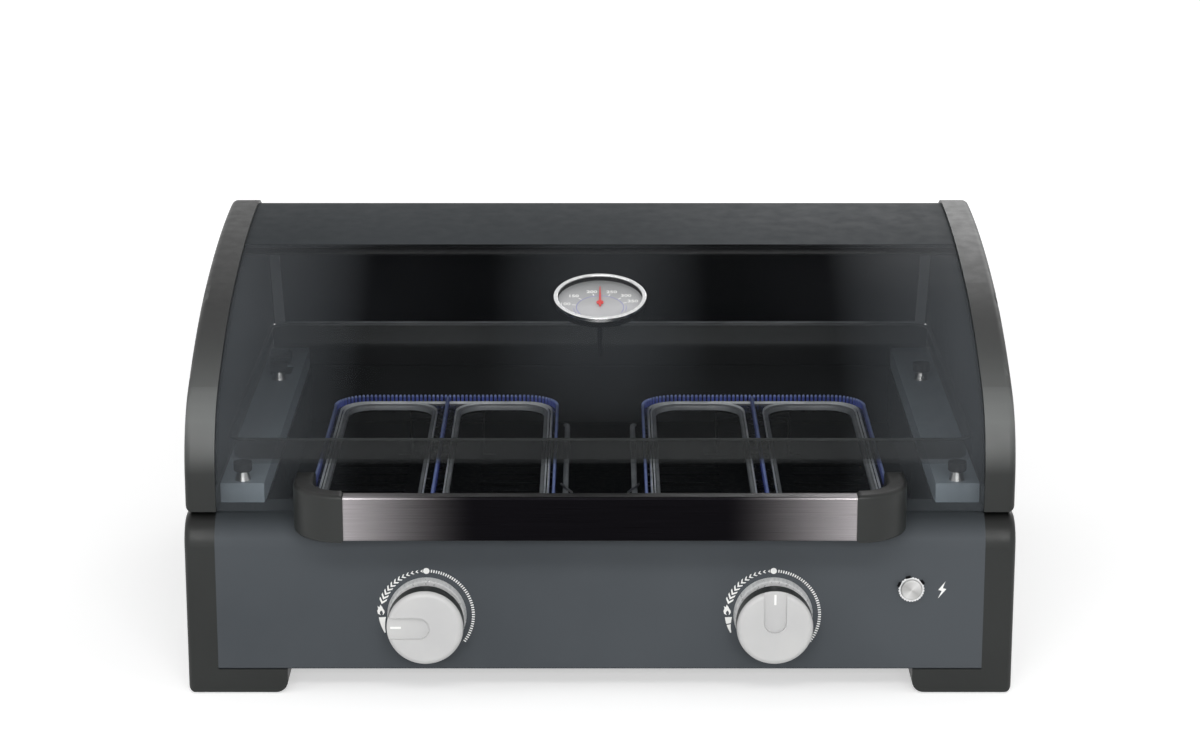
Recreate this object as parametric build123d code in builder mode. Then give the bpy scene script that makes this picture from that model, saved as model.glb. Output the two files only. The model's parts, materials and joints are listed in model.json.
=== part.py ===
from build123d import *
import os
from math import atan2, cos, degrees, hypot, radians, sin, sqrt, tan

os.makedirs("parts", exist_ok=True)

# Tabletop gas griddle with two burners under a rimmed plate and a see-through hinged hood.
# Millimetres. X runs to the right, Y to the back, Z up. The origin lies on the table under
# the middle of the whole, and the front of the object faces -Y.

# Whole body
body_width = 620.0
base_front = -216.0
base_depth = 472.0
sheet = 1.2
seat_gap = 0.3
sides = ((-1, "left"), (1, "right"))

# Moulded end caps of the base, with their feet
cap_thickness = 23.0
cap_edge_radius = 5.0
joint_height = 138.0
shoulder_radius = 22.0
foot_height = 19.3
foot_width = 75.0
foot_length = 70.0
foot_corner_radius = 9.0
foot_lift = 1.0
pad_thickness = 2.5
pad_margin = 11.0
pad_corner_radius = 8.0
screw_lug_width = 18.0
screw_lug_height = 16.0
screw_lug_depth = 14.0
screw_lug_low = 42.0
screw_lug_drop = 18.0

# Front panel
return_flange = 18.0
bend_radius = 2.0
front_lip_depth = 51.0
lip_drop = 8.0

# Bottom pan and rear panel
pan_flange = 12.0
pan_slot_length = 70.0
pan_slot_width = 5.0
pan_slot_rows = 7
pan_slot_pitch = 16.0
rear_setback = 12.0
rear_top_drop = 2.0
rear_flange = 20.0
shield_lap = 4.0
louvre_length = 60.0
louvre_width = 5.0
louvre_count = 5
louvre_pitch = 84.0
louvre_rows = 3
louvre_row_pitch = 15.0
louvre_drop = 38.0

# Side ledges, burner box and what sits on them
ledge_width = 33.0
ledge_rise = 15.0
ledge_lap = 38.0
ledge_front_overhang = 10.0
ledge_rear_gap = 4.0
side_clearance = 0.8
box_drop = 54.0
box_wall_top_drop = 2.0
box_front_gap = 12.0
box_rear_gap = 2.0
box_slot_length = 60.0
box_slot_width = 6.0
box_slot_rows = 6
box_slot_pitch = 24.0
peg_inset = 17.0
peg_front_inset = 10.0
peg_rear_inset = 102.0
peg_base_radius = 6.0
peg_top_radius = 4.0
peg_height = 7.0
collar_radius = 7.0
collar_edge_radius = 1.5
collar_height = 7.0

# Griddle plate
plate_side_gap = 6.0
plate_rear_gap = 49.0
plate_front_inset = 41.0
plate_height = 21.0
plate_floor = 4.0
plate_wall = 4.0
plate_corner_radius = 16.0
plate_edge_radius = 6.0
rim_edge_radius = 1.5
drain_width = 14.0
drain_length = 22.0
drain_rear_inset = 24.0
drain_wall = 2.5
drain_drop = 6.0

# Grease cup
cup_length = 118.0
cup_height = 36.0
cup_wall = 1.5
cup_drop = 46.0
cup_face_margin = 2.5
cup_face_thickness = 2.0
cup_tab_reach = 12.0
cup_tab_width = 18.0
cup_tab_height = 5.0
cup_clearance = 0.6

# Burners
burner_gap = 69.2
burner_side_gap = 28.6
burner_length = 302.0
burner_front_inset = 66.0
burner_drop = 20.0
burner_height = 12.0
burner_wall = 12.5
burner_rib = 24.0
burner_corner_radius = 30.0
burner_window_radius = 21.0
burner_edge_radius = 2.5
port_radius = 1.1
port_depth = 4.0
port_pitch = 9.5
port_end_margin = 36.0
mixer_radius = 9.5
mixer_bore_radius = 7.5
mixer_length = 130.0
mixer_reach = 18.0
mixer_drop = 9.0
mixer_flange_width = 2.5
mixer_flange_length = 10.0
mixer_flange_thickness = 3.0
support_width = 60.0
support_depth = 22.0
support_rear_inset = 30.0

# Gas valves, knobs and their bezels
knob_height = 62.6
knob_radius = 28.5
knob_thickness = 17.0
knob_edge_radius = 4.0
knob_mark_width = 17.0
knob_mark_overrun = 3.5
knob_mark_depth = 3.0
ring_radius = 26.0
ring_thickness = 5.5
hub_radius = 12.0
bezel_thickness = 5.0
bezel_bore_radius = 20.0
bezel_tooth_radius = 0.9
bezel_teeth = 60
push_travel = 3.0
push_gap = 0.5
left_knob_angle = 90.0
valve_radius = 14.0
valve_length = 33.0
valve_bore_radius = 9.0
valve_bore_depth = 8.0
cup_ring_thickness = 2.0
cup_ring_set_back = 1.0
stem_radius = 4.0
stem_fit = 0.1
stem_end_gap = 3.0
valve_end_wall = 2.7
riser_radius = 6.0
riser_set_back = 29.0
head_radius = 7.0
head_length = 14.0
injector_radius = 6.0
injector_tip_radius = 4.0
injector_tip_length = 8.0
jet_radius = 0.5
saddle_size = 18.0
saddle_overlap = 4.0

# Gas pipe and inlet
pipe_radius = 5.0
pipe_drop = 20.6
pipe_set_back = 17.0
pipe_stub = 22.0
pipe_bend_radius = 30.0
inlet_inset = 45.0
inlet_flange_radius = 11.0
inlet_flange_thickness = 3.0
inlet_thread_radius = 6.58
inlet_thread_length = 13.0
inlet_bore_radius = 3.0
inlet_body_length = 14.0
thread_chamfer = 0.8

# Spark igniter
button_inset = 54.6
button_height = 83.9
button_radius = 7.8
button_edge_radius = 1.0
button_proud = 5.5
button_travel = 4.0
button_thickness = 5.0
button_stem_radius = 3.0
button_stem_length = 16.0
igniter_bezel_radius = 9.7
igniter_bezel_height = 3.5
igniter_notch_radius = 0.55
igniter_notches = 28
igniter_radius = 9.0
igniter_length = 46.0
igniter_flange_radius = 12.0
igniter_flange_thickness = 2.0
igniter_mouth_gap = 0.9
lead_radius = 1.2
lead_bend_radius = 12.0
lead_set_backs = (31.0, 16.0)
electrode_spacing = 44.0
electrode_rise = 4.0
electrode_radius = 3.0
electrode_length = 46.0
electrode_reach = 3.0
spark_wire_radius = 0.9
spark_wire_length = 42.0
spark_gap = 4.0
bracket_margin = 9.0
bracket_tongue_width = 35.0
bracket_height = 24.0
bracket_tongue_depth = 12.0

# Hood outline, as a chain of arcs from the front up and back
joint_gap = 0.8
hood_setback = 14.5
hood_front_rise = 24.4
hood_front_radii = (71.0, 496.0)
hood_headings = (90.0, 28.6, 12.6, 1.2)
roof_rear_run = 86.7
rear_radius = 45.0
pane_top_heading = 7.8
crease_gap = 0.5
skin_inset = 2.5
pane_thickness = 3.0
rail_thickness = 1.5
rail_half_width = 12.0
rail_clearance = 0.05
rear_wall_rise = 17.0
liner_inset = 7.5
liner_gap = 5.0
liner_strip = 11.0

# Hood hinge
hinge_inset = 13.0
hinge_rise = 14.0
boss_radius = 11.0
boss_run = 18.0
pin_radius = 4.0
pin_clearance = 0.05
pin_length = 26.0
lug_radius = 9.5
lug_thickness = 8.0
lug_gap = 3.0
lug_foot_width = 26.0
lug_foot_thickness = 3.0

# Screws of the rear panel and the hinge lugs
screw_radius = 2.0
screw_length = 8.0
screw_head_radius = 4.0
screw_head_height = 2.4
lug_screw_margin = 1.0

# Handle
handle_reach = 58.5
handle_bar_half = 187.5
handle_height = 34.0
handle_drop = 3.5
handle_bar_depth = 12.0
handle_bar_edge_radius = 2.0
handle_step = 1.5
handle_end_depth = 15.0
handle_end_span = 39.1
handle_end_straight = 1.1
handle_edge_radius = 3.0
arm_clearance = 4.0
arm_relief_run = 18.0
handle_screw_radius = 3.0
handle_screw_depth = 12.0
handle_screw_head_radius = 5.5
handle_screw_head_height = 4.0
handle_screw_rise = 14.0
washer_radius = 9.0
washer_thickness = 1.5

# Thermometer
gauge_heading = 15.0
gauge_radius = 36.25
gauge_proud = 2.0
gauge_wall = 1.25
gauge_floor = 3.0
bezel_overlap = 1.5
bezel_skirt = 2.0
bezel_lip = 3.2
bezel_lip_thickness = 1.2
bezel_lip_radius = 0.5
dial_thickness = 0.8
lens_thickness = 1.5
needle_length = 25.0
needle_tail = 6.0
needle_width = 2.0
needle_thickness = 0.6
needle_rise = 0.8
needle_headroom = 0.8
needle_hub_radius = 2.8
needle_offset = 3.5
spindle_radius = 0.8
spindle_fit = 0.05
spindle_hole_radius = 1.3
spindle_depth = 2.0
probe_radius = 4.0
probe_tip_radius = 2.0
probe_length = 12.0
probe_tip_length = 34.0
nut_radius = 8.0
nut_thickness = 5.0

# Places that follow from the sizes above
inner_half = body_width / 2 - cap_thickness
base_back = base_front + base_depth
panel_back = base_front + sheet
rear_face = base_back - rear_setback
rear_top = joint_height - rear_top_drop
lip_back = base_front + front_lip_depth
ledge_top = joint_height + ledge_rise
ledge_inner = inner_half - side_clearance - ledge_width
ledge_front = lip_back - ledge_front_overhang
ledge_back = rear_face - rear_flange - ledge_rear_gap
box_front = lip_back + box_front_gap - ledge_front_overhang
box_back = rear_face - rear_flange - box_rear_gap
box_top = joint_height - box_wall_top_drop
box_floor_height = joint_height - box_drop
plate_front = base_front + plate_front_inset
plate_back = ledge_back - plate_rear_gap
plate_depth = plate_back - plate_front
plate_width = 2 * (inner_half - plate_side_gap)
plate_bottom = ledge_top + peg_height + collar_height
channel_width = inner_half - ledge_inner - sheet
channel_middle = channel_width / 2 - inner_half
cup_floor_height = joint_height - cup_drop
screw_lug_heights = (screw_lug_low, cup_floor_height - screw_lug_drop)
cup_width = channel_width - 2 * cup_face_margin - 2 * seat_gap
burner_width = ledge_inner - burner_side_gap - burner_gap / 2
burner_spacing = burner_width + burner_gap
burner_base_height = joint_height - burner_drop
burner_front = base_front + burner_front_inset
burner_back = burner_front + burner_length
panel_hole_radius = valve_bore_radius + seat_gap
mixer_height = burner_base_height - mixer_drop
ring_back = base_front - bezel_thickness - push_travel - push_gap
stem_hole_length = panel_back + valve_length - valve_end_wall - ring_back
pipe_height = knob_height - pipe_drop
riser_y = panel_back + riser_set_back
pipe_y = panel_back + pipe_set_back
inlet_x = inner_half - inlet_inset
button_x = inner_half - button_inset
button_hole_radius = button_radius + seat_gap
electrode_height = burner_base_height + electrode_rise
pan_top = foot_height + 2 * sheet
hood_front = base_front + hood_setback
hood_bottom = joint_height + joint_gap
hinge_y = base_back - hinge_inset
hinge_z = joint_height + hinge_rise
pane_face = hood_front + skin_inset
rear_wall_bottom = hinge_z + rear_wall_rise
shield_top = rear_wall_bottom + shield_lap
lug_inner = inner_half - lug_gap - lug_thickness
liner_bottom = ledge_top + liner_gap
handle_front = hood_front - handle_reach
handle_bottom = joint_height - handle_drop
handle_screw_height = joint_height + handle_screw_rise
mixer_front = burner_front - mixer_reach
lug_screw_x = inner_half - lug_gap - lug_foot_width + screw_head_radius + lug_screw_margin
needle_height = gauge_floor + dial_thickness + needle_rise
lens_height = needle_height + needle_thickness + needle_headroom
lip_height = lens_height + lens_thickness
gauge_sink = lip_height + bezel_lip_thickness - gauge_proud
case_radius = gauge_radius - bezel_overlap
dial_radius = case_radius - gauge_wall


def write_part(piece, name):
    """Labels a finished piece and writes its STEP file."""
    piece.part.label = name
    export_step(piece.part, f"parts/{name}.step")


def front_plane(y, z=0.0, x=0.0, turn=0.0):
    """An upright plane that faces the front, its own y up, turned anticlockwise by so many degrees."""
    across = (cos(radians(turn)), 0, sin(radians(turn)))
    return Plane(origin=(x, y, z), x_dir=across, z_dir=(0, -1, 0))


def side_plane(x):
    """An upright plane across X, with its own x to the back and its own y up."""
    return Plane.YZ.offset(x)


# The hood's side outline: each arc is (radius, centre y, centre z, heading in, heading out).
# A heading is the direction of travel above the horizontal, front to back.
front_arcs = list(zip(hood_front_radii, hood_headings, hood_headings[1:]))
front_run = sum(
    radius * (sin(radians(heading_in)) - sin(radians(heading_out)))
    for radius, heading_in, heading_out in front_arcs
)
roof_run = hinge_y - roof_rear_run - hood_front - front_run
roof_radius = roof_run / (sin(radians(hood_headings[-2])) - sin(radians(hood_headings[-1])))
hood_arcs = []
point_y = hood_front
point_z = hood_bottom + hood_front_rise
for radius, heading_in, heading_out in front_arcs + [(roof_radius, *hood_headings[-2:])]:
    centre_y = point_y + radius * sin(radians(heading_in))
    centre_z = point_z - radius * cos(radians(heading_in))
    hood_arcs.append((radius, centre_y, centre_z, heading_in, heading_out))
    point_y = centre_y - radius * sin(radians(heading_out))
    point_z = centre_z + radius * cos(radians(heading_out))
rear_centre_y = point_y + rear_radius * sin(radians(hood_headings[-1]))
rear_centre_z = point_z - rear_radius * cos(radians(hood_headings[-1]))
span_y = hinge_y - rear_centre_y
span_z = hinge_z - rear_centre_z
rear_run = sqrt(hypot(span_y, span_z) ** 2 - (rear_radius - boss_radius) ** 2)
rear_heading = degrees(atan2(span_z, span_y) - atan2(rear_radius - boss_radius, rear_run))
hood_arcs.append((rear_radius, rear_centre_y, rear_centre_z, hood_headings[-1], rear_heading))


def hood_point(heading, inset=0.0):
    """The point (y, z) of the hood's outline, moved inwards, where it has this heading."""
    for radius, centre_y, centre_z, _, heading_out in hood_arcs:
        if heading >= heading_out:
            break
    reach = radius - inset
    return (centre_y - reach * sin(radians(heading)), centre_z + reach * cos(radians(heading)))


def hood_curve(inset, start_heading, end_heading):
    """Draws the outline's arcs, moved inwards, between two headings."""
    for radius, centre_y, centre_z, heading_in, heading_out in hood_arcs:
        start = min(start_heading, heading_in)
        end = max(end_heading, heading_out)
        if start > end:
            CenterArc((centre_y, centre_z), radius - inset, start + 90, end - start)


def rear_point(height, inset):
    """The point (y, z) of the hood's straight rear slope at this height."""
    start_y, start_z = hood_point(rear_heading, inset)
    return (start_y + (height - start_z) / tan(radians(rear_heading)), height)


def hood_band(outer, inner, start_heading, end_heading):
    """Draws a closed strip along the hood's outline between two insets."""
    hood_curve(outer, start_heading, end_heading)
    hood_curve(inner, start_heading, end_heading)
    Line(hood_point(start_heading, outer), hood_point(start_heading, inner))
    Line(hood_point(end_heading, outer), hood_point(end_heading, inner))


# Base caps: one moulding each, with a front and a rear foot and two screw lugs
foot_inner = body_width / 2 - foot_width
foot_middle_x = body_width / 2 - foot_width / 2
foot_middles = (base_front + foot_length / 2, base_back - foot_length / 2)
for side, name in sides:
    with BuildPart() as base_cap:
        with BuildSketch(side_plane(side * inner_half)) as outline:
            with BuildLine():
                Polyline(
                    (base_front, foot_lift),
                    (base_front, joint_height),
                    (base_back, joint_height),
                    (base_back, foot_lift),
                    (base_back - foot_length, foot_lift),
                    (base_back - foot_length, foot_height),
                    (base_front + foot_length, foot_height),
                    (base_front + foot_length, foot_lift),
                    close=True,
                )
            make_face()
            fillet(outline.vertices().group_by(Axis.Y)[-1], shoulder_radius)
        extrude(amount=side * cap_thickness)
        outer_face = base_cap.faces().sort_by(Axis.X)[0 if side < 0 else -1]
        fillet(outer_face.edges(), cap_edge_radius)
        for foot_front in (base_front, base_back - foot_length):
            with BuildSketch(front_plane(foot_front)) as foot:
                with BuildLine():
                    Polyline(
                        (side * inner_half, foot_height),
                        (side * foot_inner, foot_height),
                        (side * foot_inner, foot_lift),
                        (side * inner_half, foot_lift),
                        close=True,
                    )
                make_face()
                fillet(
                    foot.vertices().group_by(Axis.Y)[0].sort_by(Axis.X)[-1 if side < 0 else 0],
                    foot_corner_radius,
                )
            extrude(amount=-foot_length)
        with BuildSketch(Plane.XY.offset(foot_lift)):
            for middle in foot_middles:
                with Locations((side * foot_middle_x, middle)):
                    RectangleRounded(
                        foot_width - 2 * pad_margin + 2 * seat_gap,
                        foot_length - 2 * pad_margin + 2 * seat_gap,
                        pad_corner_radius + seat_gap,
                    )
        extrude(amount=pad_thickness - foot_lift, mode=Mode.SUBTRACT)
        with BuildSketch(front_plane(rear_face - sheet)):
            for height in screw_lug_heights:
                with Locations((side * (inner_half - screw_lug_width / 2), height)):
                    Rectangle(screw_lug_width, screw_lug_height)
        extrude(amount=screw_lug_depth)
        with BuildSketch(front_plane(rear_face - sheet)):
            for height in screw_lug_heights:
                with Locations((side * (inner_half - screw_lug_width / 2), height)):
                    Circle(screw_radius)
        extrude(amount=screw_lug_depth, mode=Mode.SUBTRACT)
    write_part(base_cap, f"base_cap_{name}")

# Rubber pads under the feet
with BuildPart() as foot_pads:
    with BuildSketch(Plane.XY):
        for side, name in sides:
            for middle in foot_middles:
                with Locations((side * foot_middle_x, middle)):
                    RectangleRounded(
                        foot_width - 2 * pad_margin,
                        foot_length - 2 * pad_margin,
                        pad_corner_radius,
                    )
    extrude(amount=pad_thickness)
write_part(foot_pads, "foot_pads")

# Front panel: a bent sheet with a rounded top and a lip that carries the ledges
with BuildPart() as front_panel:
    with BuildSketch(side_plane(0)):
        with BuildLine():
            FilletPolyline(
                (base_front + return_flange, foot_height),
                (base_front, foot_height),
                (base_front, joint_height),
                (lip_back, joint_height),
                (lip_back, joint_height - lip_drop),
                radius=(bend_radius, shoulder_radius, bend_radius),
            )
            offset(amount=sheet, side=Side.RIGHT)
        make_face()
    extrude(amount=inner_half, both=True)
    with BuildSketch(front_plane(panel_back + sheet)):
        with Locations((-burner_spacing / 2, knob_height), (burner_spacing / 2, knob_height)):
            Circle(panel_hole_radius)
        with Locations((button_x, button_height)):
            Circle(button_hole_radius)
    extrude(amount=3 * sheet, mode=Mode.SUBTRACT)
write_part(front_panel, "front_panel")

# Bottom pan with rows of air slots
with BuildPart() as bottom_pan:
    with BuildSketch(front_plane(rear_face - sheet - bend_radius)):
        with BuildLine():
            Polyline(
                (-inner_half, foot_height + sheet + pan_flange),
                (-inner_half, foot_height + sheet),
                (inner_half, foot_height + sheet),
                (inner_half, foot_height + sheet + pan_flange),
                (inner_half - sheet, foot_height + sheet + pan_flange),
                (inner_half - sheet, pan_top),
                (sheet - inner_half, pan_top),
                (sheet - inner_half, foot_height + sheet + pan_flange),
                close=True,
            )
        make_face()
    extrude(amount=rear_face - panel_back - sheet - 2 * bend_radius)
    with BuildSketch(Plane.XY.offset(foot_height)):
        for slot_x in (-burner_spacing / 2, burner_spacing / 2):
            for row in range(pan_slot_rows):
                slot_y = (row - (pan_slot_rows - 1) / 2) * pan_slot_pitch
                with Locations((slot_x, slot_y)):
                    SlotOverall(pan_slot_length, pan_slot_width)
    extrude(amount=3 * sheet, mode=Mode.SUBTRACT)
write_part(bottom_pan, "bottom_pan")

# Rear panel: a bent sheet with louvre slots, the grease cup's door, the gas inlet's hole and,
# behind the plate, a draught shield that stands up to the hood's rear wall
with BuildPart() as rear_panel:
    with BuildSketch(side_plane(0)):
        with BuildLine():
            FilletPolyline(
                (rear_face - return_flange, foot_height),
                (rear_face, foot_height),
                (rear_face, rear_top),
                (rear_face - rear_flange, rear_top),
                (rear_face - rear_flange, shield_top),
                radius=(bend_radius, bend_radius, bend_radius),
            )
            offset(amount=sheet, side=Side.LEFT)
        make_face()
    extrude(amount=inner_half, both=True)
    with BuildSketch(front_plane(rear_face - rear_flange + sheet)):
        for side, name in sides:
            with Locations((side * (lug_inner + inner_half) / 2, (rear_top + shield_top) / 2)):
                Rectangle(inner_half - lug_inner, shield_top - rear_top)
    extrude(amount=3 * sheet, mode=Mode.SUBTRACT)
    with BuildSketch(front_plane(rear_face + sheet)):
        for column in range(louvre_count):
            louvre_x = (column - (louvre_count - 1) / 2) * louvre_pitch
            for row in range(louvre_rows):
                louvre_z = joint_height - louvre_drop - row * louvre_row_pitch
                with Locations((louvre_x, louvre_z)):
                    SlotOverall(louvre_length, louvre_width)
        with Locations((channel_middle, cup_floor_height + cup_height / 2)):
            Rectangle(cup_width + 2 * cup_clearance, cup_height + 2 * cup_clearance)
        with Locations((inlet_x, pipe_height)):
            Circle(inlet_thread_radius + seat_gap)
        for side, name in sides:
            for height in screw_lug_heights:
                with Locations((side * (inner_half - screw_lug_width / 2), height)):
                    Circle(screw_radius)
    extrude(amount=3 * sheet, mode=Mode.SUBTRACT)
    with BuildSketch(Plane.XY.offset(rear_top - 2 * sheet)):
        for side, name in sides:
            with Locations((side * lug_screw_x, rear_face - rear_flange / 2)):
                Circle(screw_radius)
    extrude(amount=3 * sheet, mode=Mode.SUBTRACT)
write_part(rear_panel, "rear_panel")

# Side ledges: bent channels that stand on the front lip and hold the burner box between them
for side, name in sides:
    with BuildPart() as ledge:
        with BuildSketch(front_plane(ledge_front)):
            with BuildLine():
                Polyline(
                    (side * ledge_inner, joint_height),
                    (side * ledge_inner, ledge_top),
                    (side * (ledge_inner + ledge_width), ledge_top),
                    (side * (ledge_inner + ledge_width), joint_height),
                )
                offset(amount=sheet, side=Side.RIGHT if side > 0 else Side.LEFT)
            make_face()
        extrude(amount=ledge_front - ledge_back)
        with BuildSketch(front_plane(ledge_front)):
            with Locations((side * (ledge_inner + ledge_width / 2), (joint_height + ledge_top) / 2)):
                Rectangle(ledge_width, ledge_rise)
        extrude(amount=-sheet)
        with BuildSketch(front_plane(lip_back + seat_gap)):
            with Locations((side * (ledge_inner + sheet / 2), joint_height - ledge_lap / 2)):
                Rectangle(sheet, ledge_lap)
        extrude(amount=lip_back + seat_gap - ledge_back)
        if side < 0:
            with BuildSketch(Plane.XY.offset(ledge_top)):
                with Locations((channel_middle, plate_back - drain_rear_inset)):
                    RectangleRounded(drain_width + 2 * drain_wall, drain_length + 2 * drain_wall, drain_wall)
            extrude(amount=-2 * sheet, mode=Mode.SUBTRACT)
    write_part(ledge, f"ledge_{name}")

# Burner box: an open sheet tray with air slots, hung between the ledges
with BuildPart() as burner_box:
    box_depth = box_back - box_front
    with BuildSketch(Plane.XY.offset(box_floor_height)):
        with Locations((0, (box_front + box_back) / 2)):
            Rectangle(2 * ledge_inner, box_depth)
    extrude(amount=box_top - box_floor_height)
    with BuildSketch(Plane.XY.offset(box_floor_height + sheet)):
        with Locations((0, (box_front + box_back) / 2)):
            Rectangle(2 * (ledge_inner - sheet), box_depth - 2 * sheet)
    extrude(amount=box_top - box_floor_height, mode=Mode.SUBTRACT)
    with BuildSketch(Plane.XY.offset(box_floor_height - sheet)):
        for slot_x in (-burner_spacing / 2, burner_spacing / 2):
            for row in range(box_slot_rows):
                slot_y = (box_front + box_back) / 2 + (row - (box_slot_rows - 1) / 2) * box_slot_pitch
                for offset_x in (-box_slot_length, box_slot_length):
                    with Locations((slot_x + offset_x, slot_y)):
                        SlotOverall(box_slot_length, box_slot_width)
    extrude(amount=3 * sheet, mode=Mode.SUBTRACT)
    with BuildSketch(front_plane(box_front + 2 * sheet)):
        with Locations((-burner_spacing / 2, mixer_height), (burner_spacing / 2, mixer_height)):
            Circle(mixer_radius + seat_gap)
        with Locations((-electrode_spacing / 2, electrode_height), (electrode_spacing / 2, electrode_height)):
            Circle(electrode_radius + seat_gap)
    extrude(amount=3 * sheet, mode=Mode.SUBTRACT)
write_part(burner_box, "burner_box")

# Burners: a cast ring with a middle rib over its mixing tube, ported round the sides and back
side_ports = int((burner_length - 2 * port_end_margin) / port_pitch) + 1
back_ports = int((burner_width - 2 * port_end_margin) / port_pitch) + 1
window_width = (burner_width - 2 * burner_wall - burner_rib) / 2
for side, name in sides:
    burner_x = side * burner_spacing / 2
    burner_middle = (burner_front + burner_back) / 2
    with BuildPart() as burner:
        with BuildSketch(Plane.XY.offset(burner_base_height)):
            with Locations((burner_x, burner_middle)):
                RectangleRounded(burner_width, burner_length, burner_corner_radius)
            for window in (-1, 1):
                with Locations((burner_x + window * (burner_rib + window_width) / 2, burner_middle)):
                    RectangleRounded(
                        window_width,
                        burner_length - 2 * burner_wall,
                        burner_window_radius,
                        mode=Mode.SUBTRACT,
                    )
        extrude(amount=burner_height)
        fillet(burner.faces().sort_by(Axis.Z)[-1].edges(), burner_edge_radius)
        with BuildSketch(front_plane(mixer_front, mixer_height, burner_x)):
            Circle(mixer_radius)
        extrude(amount=-mixer_length)
        with BuildSketch(front_plane(burner_front, mixer_height, burner_x)):
            with Locations((0, (burner_base_height - mixer_height) / 2)):
                Rectangle(2 * mixer_radius, burner_base_height - mixer_height)
        extrude(amount=mixer_reach - mixer_length)
        with BuildSketch(front_plane(mixer_front, mixer_height, burner_x)):
            Circle(mixer_bore_radius)
        extrude(amount=burner_wall - mixer_length, mode=Mode.SUBTRACT)
        with BuildSketch(front_plane(burner_front - mixer_flange_length, mixer_height, burner_x)):
            Rectangle(2 * (mixer_radius + mixer_flange_width), mixer_flange_thickness)
            Circle(mixer_bore_radius + sheet / 2, mode=Mode.SUBTRACT)
        extrude(amount=-mixer_flange_length)
        port_height = burner_base_height + burner_height / 2
        for wall in (-1, 1):
            with BuildSketch(side_plane(burner_x + wall * (burner_width / 2 - port_depth))):
                with Locations((burner_middle, port_height)):
                    with GridLocations(port_pitch, port_pitch, side_ports, 1):
                        Circle(port_radius)
            extrude(amount=wall * 2 * port_depth, mode=Mode.SUBTRACT)
        with BuildSketch(front_plane(burner_back + port_depth, port_height, burner_x)):
            with GridLocations(port_pitch, port_pitch, back_ports, 1):
                Circle(port_radius)
        extrude(amount=2 * port_depth, mode=Mode.SUBTRACT)
    write_part(burner, f"burner_{name}")

# Burner supports: folded channels on the box floor, under each burner's back bar
with BuildPart() as burner_supports:
    support_top = burner_base_height - sheet
    support_bottom = box_floor_height + sheet
    for side, name in sides:
        with BuildSketch(front_plane(burner_back - support_rear_inset, 0, side * burner_spacing / 2)):
            with BuildLine():
                Polyline(
                    (-support_width / 2 - support_depth / 2, support_bottom),
                    (-support_width / 2, support_bottom),
                    (-support_width / 2, support_top),
                    (support_width / 2, support_top),
                    (support_width / 2, support_bottom),
                    (support_width / 2 + support_depth / 2, support_bottom),
                )
                offset(amount=sheet, side=Side.LEFT)
            make_face()
        extrude(amount=-support_depth)
write_part(burner_supports, "burner_supports")

# Plate pegs: turned metal cones on the ledges, each with a rubber collar on top
peg_places = [
    (side * (inner_half - peg_inset), peg_y)
    for side, name in sides
    for peg_y in (ledge_front + peg_front_inset, ledge_back - peg_rear_inset)
]
with BuildPart() as plate_pegs:
    for place in peg_places:
        with BuildSketch(Plane.XY.offset(ledge_top)):
            with Locations(place):
                Circle(peg_base_radius)
        with BuildSketch(Plane.XY.offset(ledge_top + peg_height)):
            with Locations(place):
                Circle(peg_top_radius)
        loft()
write_part(plate_pegs, "plate_pegs")

with BuildPart() as peg_collars:
    with BuildSketch(Plane.XY.offset(ledge_top + peg_height)):
        with Locations(*peg_places):
            Circle(collar_radius)
    extrude(amount=collar_height)
    fillet(peg_collars.edges().group_by(Axis.Z)[0], collar_edge_radius)
write_part(peg_collars, "peg_collars")

# Griddle plate: a rimmed tray with a drain slot and a short spout under it
with BuildPart() as griddle_plate:
    plate_middle = (plate_front + plate_back) / 2
    with BuildSketch(Plane.XY.offset(plate_bottom)):
        with Locations((0, plate_middle)):
            RectangleRounded(plate_width, plate_depth, plate_corner_radius)
    extrude(amount=plate_height)
    fillet(griddle_plate.faces().sort_by(Axis.Z)[0].edges(), plate_edge_radius)
    with BuildSketch(Plane.XY.offset(plate_bottom + plate_floor)):
        with Locations((0, plate_middle)):
            RectangleRounded(
                plate_width - 2 * plate_wall,
                plate_depth - 2 * plate_wall,
                plate_corner_radius - plate_wall,
            )
    extrude(amount=plate_height, mode=Mode.SUBTRACT)
    fillet(griddle_plate.faces().sort_by(Axis.Z)[-1].edges(), rim_edge_radius)
    with BuildSketch(Plane.XY.offset(plate_bottom - drain_drop)):
        with Locations((channel_middle, plate_back - drain_rear_inset)):
            RectangleRounded(
                drain_width + 2 * drain_wall - 2 * seat_gap - sheet,
                drain_length + 2 * drain_wall - 2 * seat_gap - sheet,
                drain_wall,
            )
    extrude(amount=drain_drop + plate_floor / 2)
    with BuildSketch(Plane.XY.offset(plate_bottom - 2 * drain_drop)):
        with Locations((channel_middle, plate_back - drain_rear_inset)):
            RectangleRounded(drain_width, drain_length, drain_wall)
    extrude(amount=2 * drain_drop + plate_floor + sheet, mode=Mode.SUBTRACT)
write_part(griddle_plate, "griddle_plate")

# Grease rail: a shelf bent from sheet on the left cap, under the cup
with BuildPart() as grease_rail:
    cup_back = rear_face + cup_face_thickness
    cup_front = cup_back - cup_length
    with BuildSketch(front_plane(rear_face - sheet)):
        with BuildLine():
            Polyline(
                (-inner_half, cup_floor_height + pan_flange),
                (-inner_half, cup_floor_height - sheet),
                (-ledge_inner - sheet, cup_floor_height - sheet),
                (-ledge_inner - sheet, cup_floor_height),
                (sheet - inner_half, cup_floor_height),
                (sheet - inner_half, cup_floor_height + pan_flange),
                close=True,
            )
        make_face()
    extrude(amount=cup_length)
write_part(grease_rail, "grease_rail")

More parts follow.
